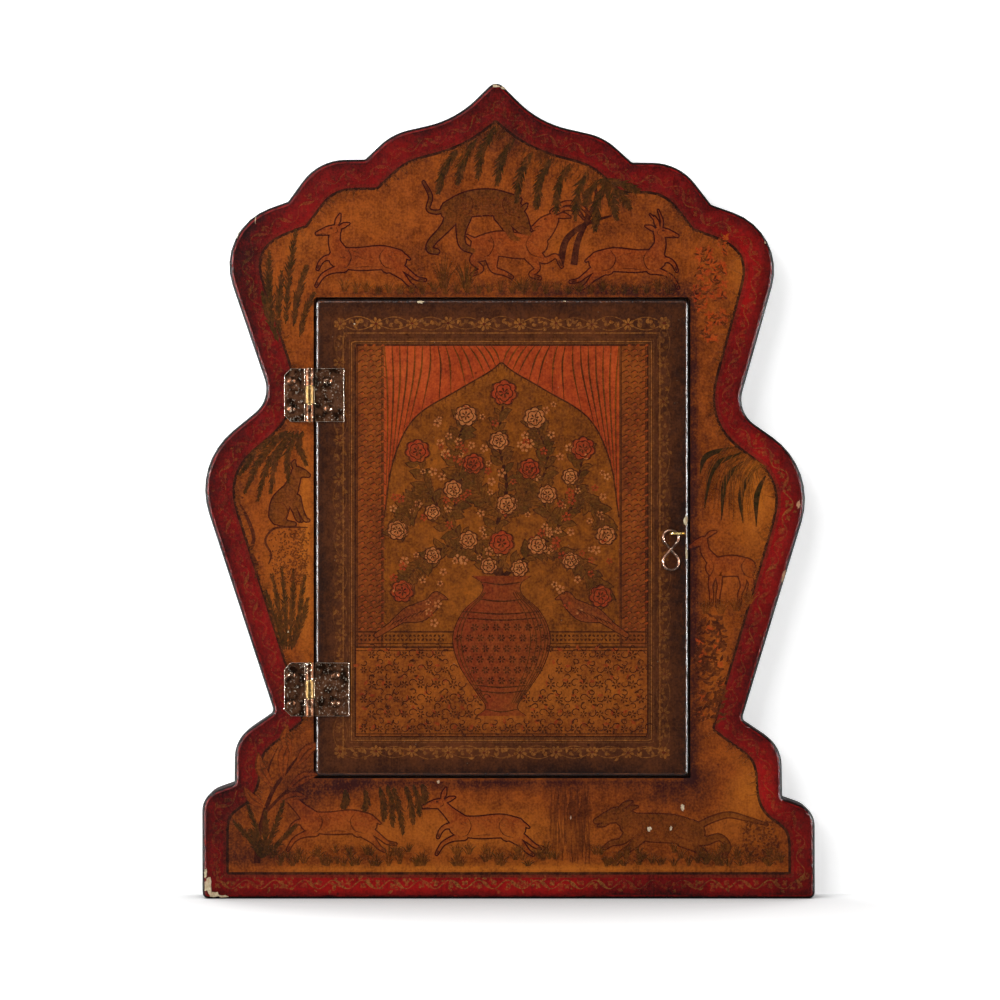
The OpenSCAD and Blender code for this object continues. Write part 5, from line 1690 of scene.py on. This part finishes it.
DARK_PATINA, GOLD_PATINA, WIRE_PATINA = ("#180D07", "#4E3222"), ("#6A4A18", "#A07C34"), ("#2E1E18", "#6A4C3C")
PALE_BRASS_AND_GLINT, YELLOW_BRASS, NAIL_BRASS_AND_GLINT, WIRE_BRASS_AND_GLINT = "#EADBC6", "#F4D68A", "#E4CCB4", "#E8D6C2"
frame_leaves = [f"{place}_hinge_frame_leaf" for place in ("upper", "lower")]
door_leaves = [f"{place}_hinge_door_leaf" for place in ("upper", "lower")]
nails = [f"{place}_hinge_{side}_nails" for place in ("upper", "lower") for side in ("frame", "door")]
pins = [f"{place}_hinge_pin" for place in ("upper", "lower")]
pin_points = nodes["upper_hinge_pin"].data.vertices
pin_x = sum(v.co.x for v in pin_points) / len(pin_points)
LEAF_ROUGH, WIRE_ROUGH = (0.14, 0.34), (0.14, 0.3)
dark_brass = old_metal("dark_brass", DARK_PATINA, PALE_BRASS_AND_GLINT, rubbed=0.06, rough=LEAF_ROUGH)
finish_nodes(dark_brass, *frame_leaves)
worn_brass = old_metal("worn_brass", DARK_PATINA, PALE_BRASS_AND_GLINT, rubbed=0.06, rough=LEAF_ROUGH, worn_x=pin_x)
finish_nodes(worn_brass, *door_leaves)
rubbed_brass = old_metal("rubbed_brass", GOLD_PATINA, YELLOW_BRASS, rubbed=0.2, rough=(0.16, 0.34))
finish_nodes(rubbed_brass, *pins)
nail_brass = old_metal("nail_brass", DARK_PATINA, NAIL_BRASS_AND_GLINT, rubbed=0.08, rough=WIRE_ROUGH, spot_mm=0.7)
finish_nodes(nail_brass, *nails, "back_panel_pins")
drawn_brass = old_metal("drawn_brass", WIRE_PATINA, WIRE_BRASS_AND_GLINT, rubbed=0.08, rough=WIRE_ROUGH, edge_mm=0.1)
finish_nodes(drawn_brass, "pull_link")
bright_brass = old_metal("bright_brass", GOLD_PATINA, YELLOW_BRASS, rubbed=0.24, rough=(0.14, 0.28),
                         edge_mm=0.1)
finish_nodes(bright_brass, "pull_staple")
print("metal finished")

# %% Finish of the glass
FOXING_MM = 26.0
silver, tree = new_material("silvered_glass")
place = add(tree, "TexCoord").outputs["Object"]
clouding = add(tree, "TexNoise", {"Vector": place, "Scale": repeats(FOXING_MM), "Detail": 7.0,
                                  "Roughness": 0.62})
foxed = add(tree, "MapRange", {0: clouding.outputs[0], 1: 0.56, 2: 0.74})
tint = add(tree, "Mix", {0: foxed.outputs[0], 6: srgb("#D6DAD6"), 7: srgb("#6E6658")}, data_type="RGBA")
haze = add(tree, "MapRange", {0: foxed.outputs[0], 3: 0.03, 4: 0.4})
mirror = add(tree, "BsdfPrincipled", {"Base Color": tint.outputs[2], "Metallic": 1.0,
                                      "Roughness": haze.outputs[0]})
add(tree, "OutputMaterial", {"Surface": mirror.outputs[0]})
finish_nodes(silver, "mirror_glass")
print("glass finished")

# %% Finish
bpy.context.view_layer.update()
